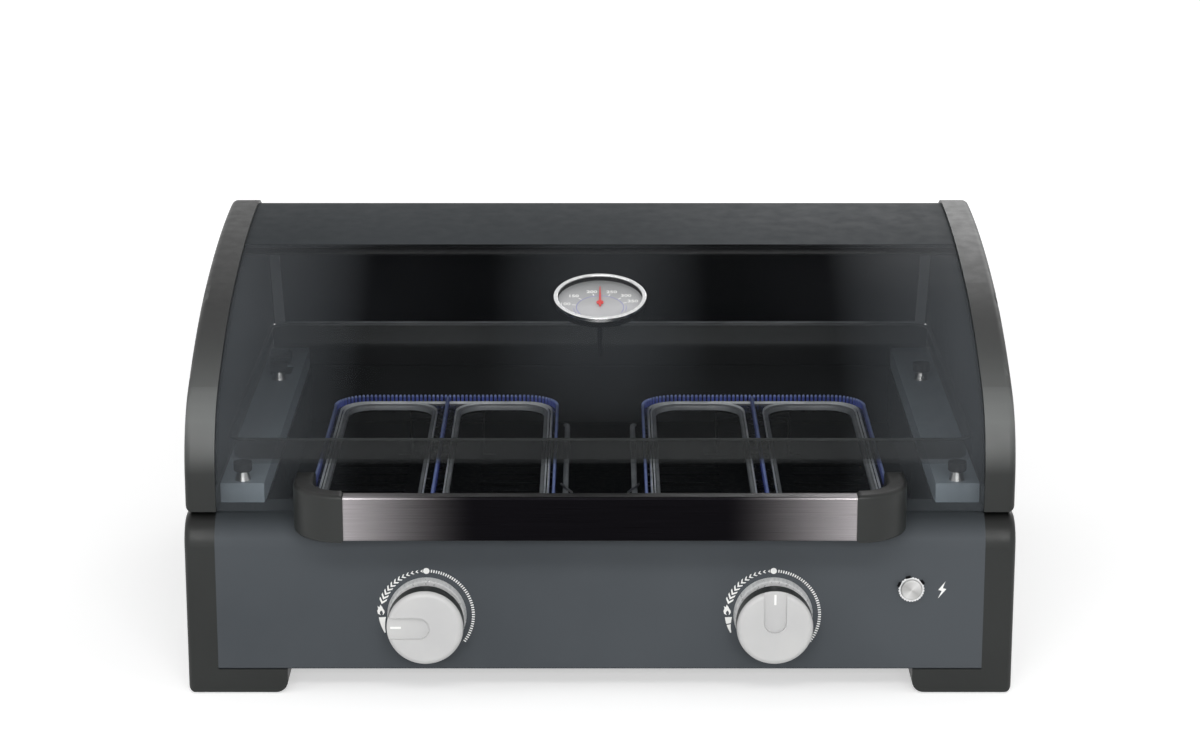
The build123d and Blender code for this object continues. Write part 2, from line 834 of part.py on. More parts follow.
# Grease cup: an open box that slides out to the back by its face
with BuildPart() as grease_cup:
    with BuildSketch(front_plane(cup_back, cup_floor_height, channel_middle)):
        with Locations((0, cup_height / 2)):
            Rectangle(cup_width, cup_height)
    extrude(amount=cup_length)
    with BuildSketch(Plane.XY.offset(cup_floor_height + cup_wall)):
        with Locations((channel_middle, (cup_front + rear_face) / 2)):
            Rectangle(cup_width - 2 * cup_wall, rear_face - cup_front - 2 * cup_wall)
    extrude(amount=cup_height, mode=Mode.SUBTRACT)
    with BuildSketch(front_plane(cup_back, cup_floor_height, channel_middle)):
        with Locations((0, cup_height / 2)):
            RectangleRounded(
                cup_width + 2 * cup_face_margin, cup_height + 2 * cup_face_margin, cup_face_margin
            )
    extrude(amount=cup_face_thickness)
    with BuildSketch(front_plane(cup_back, cup_floor_height, channel_middle)):
        with Locations((0, cup_height - cup_tab_height / 2)):
            RectangleRounded(cup_tab_width, cup_tab_height, cup_face_thickness)
    extrude(amount=-cup_tab_reach)
write_part(grease_cup, "grease_cup")

# Knob bezels: serrated rings on the front panel
with BuildPart() as knob_bezels:
    with BuildSketch(front_plane(base_front, knob_height)):
        with Locations((-burner_spacing / 2, 0), (burner_spacing / 2, 0)):
            Circle(knob_radius)
            with PolarLocations(knob_radius, bezel_teeth):
                Circle(bezel_tooth_radius, mode=Mode.SUBTRACT)
            Circle(bezel_bore_radius, mode=Mode.SUBTRACT)
    extrude(amount=bezel_thickness)
write_part(knob_bezels, "knob_bezels")

for side, name in sides:
    knob_x = side * burner_spacing / 2
    mark_angle = left_knob_angle if side < 0 else 0.0

    # Gas valve: a barrel behind the panel, a riser to the injector's head and a saddle on the pipe
    with BuildPart() as valve:
        with BuildSketch(front_plane(panel_back, knob_height, knob_x)):
            Circle(valve_radius)
        extrude(amount=-valve_length)
        with BuildSketch(Plane.XY.offset(knob_height)):
            with Locations((knob_x, riser_y)):
                Circle(riser_radius)
        extrude(amount=mixer_height - knob_height)
        with BuildSketch(front_plane(riser_y - head_length / 2, mixer_height, knob_x)):
            Circle(head_radius)
        extrude(amount=-head_length)
        with BuildSketch(Plane.XY.offset(pipe_height - saddle_size / 2)):
            with Locations((knob_x, pipe_y)):
                RectangleRounded(saddle_size, saddle_size, bend_radius)
        extrude(amount=knob_height - valve_radius - pipe_height + saddle_size / 2 + saddle_overlap)
        with BuildSketch(side_plane(knob_x - saddle_size)):
            with Locations((pipe_y, pipe_height)):
                Circle(pipe_radius)
        extrude(amount=2 * saddle_size, mode=Mode.SUBTRACT)
        with BuildSketch(front_plane(panel_back, knob_height, knob_x)):
            Circle(valve_bore_radius)
        extrude(amount=-valve_bore_depth, mode=Mode.SUBTRACT)
        with BuildSketch(front_plane(ring_back, knob_height, knob_x)):
            Circle(stem_radius + stem_fit)
        extrude(amount=-stem_hole_length, mode=Mode.SUBTRACT)
    write_part(valve, f"gas_valve_{name}")

    # Spring cup: the washer in the valve's mouth that the spindle pushes in
    with BuildPart() as spring_cup:
        with BuildSketch(front_plane(panel_back + cup_ring_set_back, knob_height, knob_x)):
            Circle(valve_bore_radius - seat_gap)
            Circle(stem_radius + stem_fit, mode=Mode.SUBTRACT)
        extrude(amount=-cup_ring_thickness)
    write_part(spring_cup, f"spring_cup_{name}")

    # Spindle: turns in the valve with the knob on its front end
    with BuildPart() as valve_stem:
        with BuildSketch(front_plane(ring_back, knob_height, knob_x)):
            Circle(stem_radius)
        extrude(amount=push_travel + stem_end_gap - stem_hole_length)
        chamfer(valve_stem.faces().sort_by(Axis.Y)[-1].edges(), thread_chamfer)
    write_part(valve_stem, f"valve_stem_{name}")

    # Knob ring: the dark back part of the knob, with its hub
    with BuildPart() as knob_ring:
        with BuildSketch(front_plane(ring_back, knob_height, knob_x)):
            Circle(ring_radius)
        extrude(amount=ring_thickness)
        with BuildSketch(front_plane(ring_back, knob_height, knob_x)):
            Circle(hub_radius)
            Circle(stem_radius, mode=Mode.SUBTRACT)
        extrude(amount=-bezel_thickness)
    write_part(knob_ring, f"knob_ring_{name}")

    # Knob: a pale disc with soft edges and a recess from its rim to past its middle
    with BuildPart() as knob:
        with BuildSketch(front_plane(ring_back - ring_thickness, knob_height, knob_x)):
            Circle(knob_radius)
        extrude(amount=knob_thickness)
        fillet(knob.faces().sort_by(Axis.Y)[0].edges(), knob_edge_radius)
        fillet(knob.faces().sort_by(Axis.Y)[-1].edges(), bend_radius)
        knob_face = ring_back - ring_thickness - knob_thickness
        with BuildSketch(front_plane(knob_face + knob_mark_depth, knob_height, knob_x, mark_angle)):
            with Locations((0, (knob_mark_width / 2 - knob_mark_overrun + knob_radius) / 2)):
                Rectangle(knob_mark_width, knob_radius - knob_mark_width / 2 + knob_mark_overrun)
            with Locations((0, knob_mark_width / 2 - knob_mark_overrun)):
                Circle(knob_mark_width / 2)
        extrude(amount=knob_mark_depth, mode=Mode.SUBTRACT)
    write_part(knob, f"knob_{name}")

# Injectors: brass nozzles in the valves' heads, with their tips in the burners' mouths
with BuildPart() as injectors:
    injector_back = mixer_front + injector_tip_length
    for side, name in sides:
        with BuildSketch(front_plane(riser_y + head_length / 2, mixer_height, side * burner_spacing / 2)):
            RegularPolygon(injector_radius, 6, major_radius=False)
        extrude(amount=riser_y + head_length / 2 - mixer_front)
        with BuildSketch(front_plane(mixer_front, mixer_height, side * burner_spacing / 2)):
            Circle(injector_tip_radius)
        extrude(amount=-injector_tip_length)
        with BuildSketch(front_plane(injector_back, mixer_height, side * burner_spacing / 2)):
            Circle(jet_radius)
        extrude(amount=injector_tip_length, mode=Mode.SUBTRACT)
write_part(injectors, "injectors")

# Gas pipe: from a closed end at the left valve, past the right one, and back to the inlet
with BuildPart() as gas_pipe:
    pipe_start = -burner_spacing / 2 - pipe_stub
    inlet_front = rear_face - sheet - inlet_body_length
    with BuildLine():
        FilletPolyline(
            (pipe_start, pipe_y, pipe_height),
            (inlet_x, pipe_y, pipe_height),
            (inlet_x, inlet_front, pipe_height),
            radius=pipe_bend_radius,
        )
    with BuildSketch(side_plane(pipe_start)):
        with Locations((pipe_y, pipe_height)):
            Circle(pipe_radius)
    sweep()
write_part(gas_pipe, "gas_pipe")

# Gas inlet: a brass fitting through the rear panel with an outside thread
inlet_back = rear_face + inlet_flange_thickness + inlet_thread_length
with BuildPart() as gas_inlet:
    with BuildSketch(front_plane(inlet_front, pipe_height, inlet_x)):
        RegularPolygon(inlet_flange_radius, 6, major_radius=False)
    extrude(amount=-inlet_body_length)
    with BuildSketch(front_plane(rear_face - sheet, pipe_height, inlet_x)):
        Circle(inlet_thread_radius)
    extrude(amount=-sheet - inlet_flange_thickness - inlet_thread_length)
    with BuildSketch(front_plane(rear_face, pipe_height, inlet_x)):
        Circle(inlet_flange_radius)
    extrude(amount=-inlet_flange_thickness)
    chamfer(gas_inlet.faces().sort_by(Axis.Y)[-1].edges(), thread_chamfer)
    with BuildSketch(front_plane(inlet_back, pipe_height, inlet_x)):
        Circle(inlet_bore_radius)
    extrude(amount=inlet_back - inlet_front - seat_gap, mode=Mode.SUBTRACT)
write_part(gas_inlet, "gas_inlet")

# Spark igniter: a notched ring, a push button and the piezo body behind the panel
with BuildPart() as igniter_bezel:
    with BuildSketch(front_plane(base_front, button_height, button_x)):
        Circle(igniter_bezel_radius)
        with PolarLocations(igniter_bezel_radius, igniter_notches):
            Circle(igniter_notch_radius, mode=Mode.SUBTRACT)
        Circle(button_hole_radius, mode=Mode.SUBTRACT)
    extrude(amount=igniter_bezel_height)
write_part(igniter_bezel, "igniter_bezel")

with BuildPart() as igniter_button:
    with BuildSketch(front_plane(base_front - button_proud, button_height, button_x)):
        Circle(button_radius)
    extrude(amount=-button_thickness)
    fillet(igniter_button.faces().sort_by(Axis.Y)[0].edges(), button_edge_radius)
    with BuildSketch(front_plane(base_front - button_proud, button_height, button_x)):
        Circle(button_stem_radius)
    extrude(amount=-button_thickness - button_stem_length)
write_part(igniter_button, "igniter_button")

with BuildPart() as igniter_body:
    with BuildSketch(front_plane(panel_back, button_height, button_x)):
        Circle(igniter_flange_radius)
    extrude(amount=-igniter_flange_thickness)
    with BuildSketch(front_plane(panel_back, button_height, button_x)):
        Circle(igniter_radius)
    extrude(amount=-igniter_length)
    fillet(igniter_body.faces().sort_by(Axis.Y)[-1].edges(), bend_radius)
    with BuildSketch(front_plane(panel_back, button_height, button_x)):
        Circle(button_stem_radius + seat_gap)
    extrude(amount=-button_stem_length - button_travel - button_thickness, mode=Mode.SUBTRACT)
    with BuildSketch(front_plane(panel_back, button_height, button_x)):
        Circle(button_hole_radius)
    extrude(
        amount=button_proud + sheet - button_thickness - button_travel - igniter_mouth_gap,
        mode=Mode.SUBTRACT,
    )
write_part(igniter_body, "igniter_body")

# Electrodes: ceramic sleeves through the box's front wall, with bent spark wires
electrode_front = box_front - electrode_reach
with BuildPart() as electrode_insulators:
    for side, name in sides:
        with BuildSketch(front_plane(electrode_front, electrode_height, side * electrode_spacing / 2)):
            Circle(electrode_radius)
        extrude(amount=-electrode_length)
write_part(electrode_insulators, "electrode_insulators")

with BuildPart() as spark_wires:
    wire_front = electrode_front + electrode_length
    wire_tip_x = burner_spacing / 2 - burner_width / 2 - spark_gap
    for side, name in sides:
        wire_x = side * electrode_spacing / 2
        with BuildLine() as wire_path:
            FilletPolyline(
                (wire_x, wire_front, electrode_height),
                (wire_x, wire_front + spark_wire_length / 2, electrode_height),
                (side * wire_tip_x, wire_front + spark_wire_length, electrode_height),
                radius=electrode_radius,
            )
        with BuildSketch(front_plane(wire_front, electrode_height, wire_x)):
            Circle(spark_wire_radius)
        sweep(path=wire_path.line)
write_part(spark_wires, "spark_wires")

with BuildPart() as electrode_bracket:
    bracket_bottom = box_top - bracket_height
    with BuildSketch(front_plane(box_front + sheet)):
        with Locations((0, box_top - bracket_height / 2)):
            Rectangle(electrode_spacing + 2 * bracket_margin, bracket_height)
        with Locations((-electrode_spacing / 2, electrode_height), (electrode_spacing / 2, electrode_height)):
            Circle(electrode_radius, mode=Mode.SUBTRACT)
    extrude(amount=-sheet)
    with BuildSketch(Plane.XY.offset(box_top)):
        with Locations((0, box_front + sheet + bracket_tongue_depth / 2)):
            Rectangle(bracket_tongue_width, bracket_tongue_depth)
    extrude(amount=sheet)
write_part(electrode_bracket, "electrode_bracket")

# Igniter leads: from the igniter's top, behind the front panel, to the electrodes
with BuildPart() as igniter_leads:
    for (side, name), set_back in zip(sides, reversed(lead_set_backs)):
        lead_y = panel_back + set_back
        lead_end = side * electrode_spacing / 2
        with BuildLine() as lead_path:
            FilletPolyline(
                (button_x, lead_y, button_height + igniter_radius),
                (button_x, lead_y, electrode_height),
                (lead_end, lead_y, electrode_height),
                (lead_end, electrode_front, electrode_height),
                radius=lead_bend_radius,
            )
        with BuildSketch(Plane.XY.offset(button_height + igniter_radius)):
            with Locations((button_x, lead_y)):
                Circle(lead_radius)
        sweep(path=lead_path.line)
write_part(igniter_leads, "igniter_leads")

# Hood pane: one bent see-through sheet, from the joint up over the brow to the crease
gauge_y, gauge_z = hood_point(gauge_heading, skin_inset)
gauge_plane = Plane(
    origin=(0, gauge_y, gauge_z),
    x_dir=(1, 0, 0),
    z_dir=(0, -sin(radians(gauge_heading)), cos(radians(gauge_heading))),
)
gauge_base = gauge_plane.offset(-gauge_sink)
arm_middle = handle_bar_half + handle_end_span - handle_end_depth / 2
pane_back_face = pane_face + pane_thickness
with BuildPart() as hood_pane:
    with BuildSketch(side_plane(0)):
        with BuildLine():
            hood_curve(skin_inset, 90, pane_top_heading)
            hood_curve(skin_inset + pane_thickness, 90, pane_top_heading)
            Polyline(
                hood_point(90, skin_inset),
                (pane_face, hood_bottom),
                (pane_back_face, hood_bottom),
                hood_point(90, skin_inset + pane_thickness),
            )
            Line(
                hood_point(pane_top_heading, skin_inset),
                hood_point(pane_top_heading, skin_inset + pane_thickness),
            )
        make_face()
    extrude(amount=inner_half, both=True)
    with BuildSketch(gauge_plane):
        Circle(case_radius + seat_gap)
    extrude(amount=-2 * pane_thickness, mode=Mode.SUBTRACT)
    with BuildSketch(front_plane(pane_back_face + sheet)):
        with Locations((-arm_middle, handle_screw_height), (arm_middle, handle_screw_height)):
            Circle(handle_screw_radius)
    extrude(amount=2 * pane_thickness, mode=Mode.SUBTRACT)
write_part(hood_pane, "hood_pane")

# Hood roof: the opaque band from the crease back and round the top edge
roof_start = pane_top_heading - degrees(crease_gap / roof_radius)
with BuildPart() as hood_roof:
    with BuildSketch(side_plane(0)):
        with BuildLine():
            hood_band(skin_inset, skin_inset + sheet, roof_start, rear_heading)
        make_face()
    extrude(amount=inner_half, both=True)
write_part(hood_roof, "hood_roof")

# Hood rear wall: the straight slope under the roof, open below for the hot air
with BuildPart() as hood_rear_wall:
    with BuildSketch(side_plane(0)):
        with BuildLine():
            Polyline(
                hood_point(rear_heading, skin_inset),
                rear_point(rear_wall_bottom, skin_inset),
                rear_point(rear_wall_bottom, skin_inset + sheet),
                hood_point(rear_heading, skin_inset + sheet),
                close=True,
            )
        make_face()
    extrude(amount=inner_half, both=True)
write_part(hood_rear_wall, "hood_rear_wall")

# Hood rail: a stepped strip under the crease that joins the pane to the roof
rail_start = pane_top_heading + degrees(rail_half_width / roof_radius)
rail_end = roof_start - degrees(rail_half_width / roof_radius)
rail_inset = skin_inset + pane_thickness + rail_thickness
roof_back = skin_inset + sheet + rail_clearance
with BuildPart() as hood_rail:
    with BuildSketch(side_plane(0)):
        with BuildLine():
            hood_curve(skin_inset + pane_thickness, rail_start, pane_top_heading)
            Polyline(
                hood_point(pane_top_heading, skin_inset + pane_thickness),
                hood_point(roof_start, skin_inset + pane_thickness),
                hood_point(roof_start, roof_back),
            )
            hood_curve(roof_back, roof_start, rail_end)
            Line(hood_point(rail_end, roof_back), hood_point(rail_end, rail_inset))
            hood_curve(rail_inset, rail_start, rail_end)
            Line(hood_point(rail_start, rail_inset), hood_point(rail_start, skin_inset + pane_thickness))
        make_face()
    extrude(amount=inner_half, both=True)
write_part(hood_rail, "hood_rail")

for side, name in sides:
    # Hood cap: the moulded side of the hood, with the boss that turns on the hinge pin
    with BuildPart() as hood_cap:
        with BuildSketch(side_plane(side * inner_half)):
            with BuildLine():
                hood_curve(0, 90, rear_heading)
                Line(hood_point(rear_heading), (hinge_y - boss_radius * sin(radians(rear_heading)),
                                                hinge_z + boss_radius * cos(radians(rear_heading))))
                CenterArc((hinge_y, hinge_z), boss_radius, rear_heading + 90, -rear_heading - 180)
                Polyline(
                    (hinge_y, hinge_z - boss_radius),
                    (hinge_y - boss_run, hood_bottom),
                    (hood_front, hood_bottom),
                    hood_point(90),
                )
            make_face()
        extrude(amount=side * cap_thickness)
        outer_face = hood_cap.faces().sort_by(Axis.X)[0 if side < 0 else -1]
        fillet(outer_face.edges(), cap_edge_radius)
        with BuildSketch(side_plane(side * inner_half)):
            with Locations((hinge_y, hinge_z)):
                Circle(pin_radius + pin_clearance)
        extrude(amount=side * (pin_length - lug_thickness - lug_gap + seat_gap), mode=Mode.SUBTRACT)
    write_part(hood_cap, f"hood_cap_{name}")

    # Hood liner: a sheet inside the cap, with a strip turned in along the rear wall
    with BuildPart() as hood_liner:
        with BuildSketch(side_plane(side * inner_half)):
            with BuildLine():
                hood_curve(liner_inset, 90, rear_heading)
                Polyline(
                    hood_point(rear_heading, liner_inset),
                    rear_point(rear_wall_bottom, liner_inset),
                    (rear_point(rear_wall_bottom, liner_inset)[0], liner_bottom),
                    (hood_front + liner_inset, liner_bottom),
                    hood_point(90, liner_inset),
                )
            make_face()
        extrude(amount=-side * sheet)
        with BuildSketch(side_plane(side * inner_half)):
            with BuildLine():
                Polyline(
                    hood_point(rear_heading, skin_inset + sheet),
                    rear_point(rear_wall_bottom, skin_inset + sheet),
                    rear_point(rear_wall_bottom, liner_inset),
                    hood_point(rear_heading, liner_inset),
                    close=True,
                )
            make_face()
        extrude(amount=-side * sheet)
        with BuildSketch(side_plane(side * inner_half)):
            with BuildLine():
                Polyline(
                    hood_point(rear_heading, skin_inset + sheet),
                    rear_point(rear_wall_bottom, skin_inset + sheet),
                    rear_point(rear_wall_bottom, skin_inset + 2 * sheet),
                    hood_point(rear_heading, skin_inset + 2 * sheet),
                    close=True,
                )
            make_face()
        extrude(amount=-side * liner_strip)
    write_part(hood_liner, f"hood_liner_{name}")

    # Handle end: the moulded corner and arm, cut back under the arm to clear the base
    with BuildPart() as handle_end:
        with BuildSketch(Plane.XY.offset(handle_bottom - handle_step)) as end_outline:
            with BuildLine():
                FilletPolyline(
                    (side * handle_bar_half, handle_front),
                    (side * (handle_bar_half + handle_end_span), handle_front),
                    (side * (handle_bar_half + handle_end_span), pane_face),
                    radius=handle_end_span - handle_end_straight,
                )
                offset(amount=handle_end_depth, side=Side.LEFT if side > 0 else Side.RIGHT)
            make_face()
        extrude(amount=handle_height + 2 * handle_step)
        fillet(handle_end.faces().sort_by(Axis.Z)[0].edges(), handle_edge_radius)
        fillet(handle_end.faces().sort_by(Axis.Z)[-1].edges(), handle_edge_radius)
        with BuildSketch(side_plane(side * (handle_bar_half - handle_step))):
            with BuildLine():
                Polyline(
                    (base_front - arm_relief_run, handle_bottom - 2 * handle_step),
                    (base_front - arm_relief_run, handle_bottom - handle_step),
                    (base_front, joint_height + arm_clearance),
                    (pane_face + handle_step, joint_height + arm_clearance),
                    (pane_face + handle_step, handle_bottom - 2 * handle_step),
                    close=True,
                )
            make_face()
        extrude(amount=side * (handle_end_span + 2 * handle_step), mode=Mode.SUBTRACT)
        with BuildSketch(front_plane(pane_face + handle_step, handle_screw_height, side * arm_middle)):
            Circle(handle_screw_radius)
        extrude(amount=handle_screw_depth + handle_step + seat_gap, mode=Mode.SUBTRACT)
    write_part(handle_end, f"handle_end_{name}")

# Handle bar: a flat stainless strip between the ends
with BuildPart() as handle_bar:
    with BuildSketch(side_plane(0)):
        with Locations(
            (handle_front + handle_step + handle_bar_depth / 2, handle_bottom + handle_height / 2)
        ):
            RectangleRounded(handle_bar_depth, handle_height, handle_bar_edge_radius)
    extrude(amount=handle_bar_half, both=True)
write_part(handle_bar, "handle_bar")

# Handle screws: each with its washer, from inside the pane into an arm
with BuildPart() as handle_screws:
    for side, name in sides:
        with BuildSketch(front_plane(pane_back_face, handle_screw_height, side * arm_middle)):
            Circle(handle_screw_radius)
        extrude(amount=pane_thickness + handle_screw_depth)
        with BuildSketch(front_plane(pane_back_face, handle_screw_height, side * arm_middle)):
            Circle(washer_radius)
        extrude(amount=-washer_thickness)
        with BuildSketch(
            front_plane(pane_back_face + washer_thickness, handle_screw_height, side * arm_middle)
        ):
            RegularPolygon(handle_screw_head_radius, 6)
        extrude(amount=-handle_screw_head_height)
write_part(handle_screws, "handle_screws")

# Thermometer: a round case sunk in the pane, its dial, needle, lens and bezel, and the probe below
with BuildPart() as thermometer_case:
    with BuildSketch(gauge_base):
        Circle(case_radius)
    extrude(amount=lip_height)
    with BuildSketch(gauge_base.offset(gauge_floor)):
        Circle(dial_radius)
    extrude(amount=lip_height, mode=Mode.SUBTRACT)
    with BuildSketch(gauge_base.offset(gauge_floor)):
        with Locations((0, -needle_offset)):
            Circle(spindle_radius + spindle_fit)
    extrude(amount=-spindle_depth - seat_gap, mode=Mode.SUBTRACT)
write_part(thermometer_case, "thermometer_case")

with BuildPart() as thermometer_dial:
    with BuildSketch(gauge_base.offset(gauge_floor)):
        Circle(dial_radius)
        with Locations((0, -needle_offset)):
            Circle(spindle_hole_radius, mode=Mode.SUBTRACT)
    extrude(amount=dial_thickness)
write_part(thermometer_dial, "thermometer_dial")

with BuildPart() as thermometer_needle:
    needle_plane = gauge_base.offset(needle_height)
    with BuildSketch(needle_plane):
        with BuildLine():
            Polyline(
                (-needle_width / 2, -needle_offset),
                (-needle_width / 3, -needle_offset - needle_tail),
                (needle_width / 3, -needle_offset - needle_tail),
                (needle_width / 2, -needle_offset),
                (needle_width / 6, needle_length - needle_offset),
                (-needle_width / 6, needle_length - needle_offset),
                close=True,
            )
        make_face()
        with Locations((0, -needle_offset)):
            Circle(needle_hub_radius)
    extrude(amount=needle_thickness)
    with BuildSketch(needle_plane):
        with Locations((0, -needle_offset)):
            Circle(spindle_radius)
    extrude(amount=-needle_rise - dial_thickness - spindle_depth)
write_part(thermometer_needle, "thermometer_needle")

with BuildPart() as thermometer_lens:
    with BuildSketch(gauge_base.offset(lens_height)):
        Circle(dial_radius)
    extrude(amount=lens_thickness)
write_part(thermometer_lens, "thermometer_lens")

with BuildPart() as thermometer_bezel:
    with BuildSketch(gauge_plane.offset(-bezel_skirt)):
        Circle(gauge_radius)
        Circle(case_radius, mode=Mode.SUBTRACT)
    extrude(amount=bezel_skirt + gauge_proud - bezel_lip_thickness)
    with BuildSketch(side_plane(0)):
        with BuildLine():
            hood_curve(skin_inset, hood_headings[1], pane_top_heading)
            Polyline(
                hood_point(pane_top_heading, skin_inset),
                hood_point(pane_top_heading, gauge_radius),
                hood_point(hood_headings[1], gauge_radius),
                hood_point(hood_headings[1], skin_inset),
            )
        make_face()
    extrude(amount=gauge_radius, both=True, mode=Mode.SUBTRACT)
    with BuildSketch(gauge_base.offset(lip_height)):
        Circle(gauge_radius)
        Circle(gauge_radius - bezel_lip, mode=Mode.SUBTRACT)
    extrude(amount=bezel_lip_thickness)
    bezel_top = thermometer_bezel.faces().sort_by(Axis((0, 0, 0), gauge_plane.z_dir))[-1]
    fillet(bezel_top.edges(), bezel_lip_radius)
write_part(thermometer_bezel, "thermometer_bezel")

with BuildPart() as thermometer_probe:
    with BuildSketch(gauge_base):
        Circle(probe_radius)
    extrude(amount=-probe_length)
    with BuildSketch(gauge_base.offset(-probe_length)):
        Circle(probe_tip_radius)
    extrude(amount=-probe_tip_length)
    fillet(
        thermometer_probe.faces().sort_by(Axis((0, 0, 0), gauge_plane.z_dir))[0].edges(),
        probe_tip_radius / 2,
    )
write_part(thermometer_probe, "thermometer_probe")

with BuildPart() as thermometer_nut:
    with BuildSketch(gauge_base):
        RegularPolygon(nut_radius, 6)
        Circle(probe_radius, mode=Mode.SUBTRACT)
    extrude(amount=-nut_thickness)
write_part(thermometer_nut, "thermometer_nut")

# Hinge lugs: one at each rear corner of the base, each with the hole for its pin
lug_front = rear_face - rear_flange + bend_radius
lug_back = rear_face - sheet
with BuildPart() as hinge_lugs:
    for side, name in sides:
        with BuildSketch(side_plane(side * lug_inner)):
            with BuildLine():
                Polyline(
                    (lug_front, rear_top),
                    (lug_back, rear_top),
                    (hinge_y + lug_radius, hinge_z),
                    (hinge_y - lug_radius, hinge_z),
                    close=True,
                )
            make_face()
            with Locations((hinge_y, hinge_z)):
                Circle(lug_radius)
                Circle(pin_radius, mode=Mode.SUBTRACT)
        extrude(amount=side * lug_thickness)
        with BuildSketch(Plane.XY.offset(rear_top)):
            with Locations(
                (side * (inner_half - lug_gap - lug_foot_width / 2), (lug_front + lug_back) / 2)
            ):
                Rectangle(lug_foot_width, lug_back - lug_front)
        extrude(amount=lug_foot_thickness)
        with BuildSketch(Plane.XY.offset(rear_top)):
            with Locations((side * lug_screw_x, rear_face - rear_flange / 2)):
                Circle(screw_radius)
        extrude(amount=lug_foot_thickness, mode=Mode.SUBTRACT)
write_part(hinge_lugs, "hinge_lugs")

with BuildPart() as hinge_pins:
    for side, name in sides:
        with BuildSketch(side_plane(side * lug_inner)):
            with Locations((hinge_y, hinge_z)):
                Circle(pin_radius)
        extrude(amount=side * pin_length)
write_part(hinge_pins, "hinge_pins")

# Screws: two through each end of the rear panel, and one through each hinge lug's foot
with BuildPart() as panel_screws:
    for side, name in sides:
        for height in screw_lug_heights:
            screw_x = side * (inner_half - screw_lug_width / 2)
            with BuildSketch(front_plane(rear_face, height, screw_x)):
                Circle(screw_head_radius)
            extrude(amount=-screw_head_height)
            with BuildSketch(front_plane(rear_face, height, screw_x)):
                Circle(screw_radius)
            extrude(amount=screw_length)
        lug_screw = (side * lug_screw_x, rear_face - rear_flange / 2)
        with BuildSketch(Plane.XY.offset(rear_top + lug_foot_thickness)):
            with Locations(lug_screw):
                Circle(screw_head_radius)
        extrude(amount=screw_head_height)
        with BuildSketch(Plane.XY.offset(rear_top + lug_foot_thickness)):
            with Locations(lug_screw):
                Circle(screw_radius)
        extrude(amount=-screw_length)
write_part(panel_screws, "panel_screws")
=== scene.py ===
import json
import math

import bmesh
import bpy
from mathutils import Matrix, Vector


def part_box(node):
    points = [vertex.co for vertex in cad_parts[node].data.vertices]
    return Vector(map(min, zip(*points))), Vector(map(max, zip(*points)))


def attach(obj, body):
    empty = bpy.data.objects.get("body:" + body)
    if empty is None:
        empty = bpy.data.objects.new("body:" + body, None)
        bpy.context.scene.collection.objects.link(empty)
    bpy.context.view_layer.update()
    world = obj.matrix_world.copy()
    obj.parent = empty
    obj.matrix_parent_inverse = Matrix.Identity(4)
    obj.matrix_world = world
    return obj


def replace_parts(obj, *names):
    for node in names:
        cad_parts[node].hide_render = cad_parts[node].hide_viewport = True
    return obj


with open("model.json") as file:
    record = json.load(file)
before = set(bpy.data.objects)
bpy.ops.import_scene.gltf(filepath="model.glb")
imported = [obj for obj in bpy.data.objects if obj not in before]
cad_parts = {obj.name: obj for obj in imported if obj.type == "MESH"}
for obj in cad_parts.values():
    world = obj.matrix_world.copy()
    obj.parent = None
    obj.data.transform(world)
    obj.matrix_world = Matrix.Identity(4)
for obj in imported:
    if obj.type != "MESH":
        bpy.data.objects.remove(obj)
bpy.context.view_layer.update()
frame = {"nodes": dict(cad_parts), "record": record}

nodes = frame["nodes"]
slot_of = {p["node"]: p["material_slot"] for p in frame["record"]["subparts"]}
sides = (("left", -1), ("right", 1))
MM = 0.001


# Materials: places in metres, scales of patterns per metre, depths of bumps in millimetres

# Most of a noise lies between these two
noise_low = 0.3
noise_high = 0.7


def paint(code):
    """A colour written as six hex digits, as the shader takes it."""
    parts = [int(code[i:i + 2], 16) / 255 for i in (0, 2, 4)]
    linear = [p / 12.92 if p <= 0.04045 else ((p + 0.055) / 1.055) ** 2.4 for p in parts]
    return (*linear, 1.0)


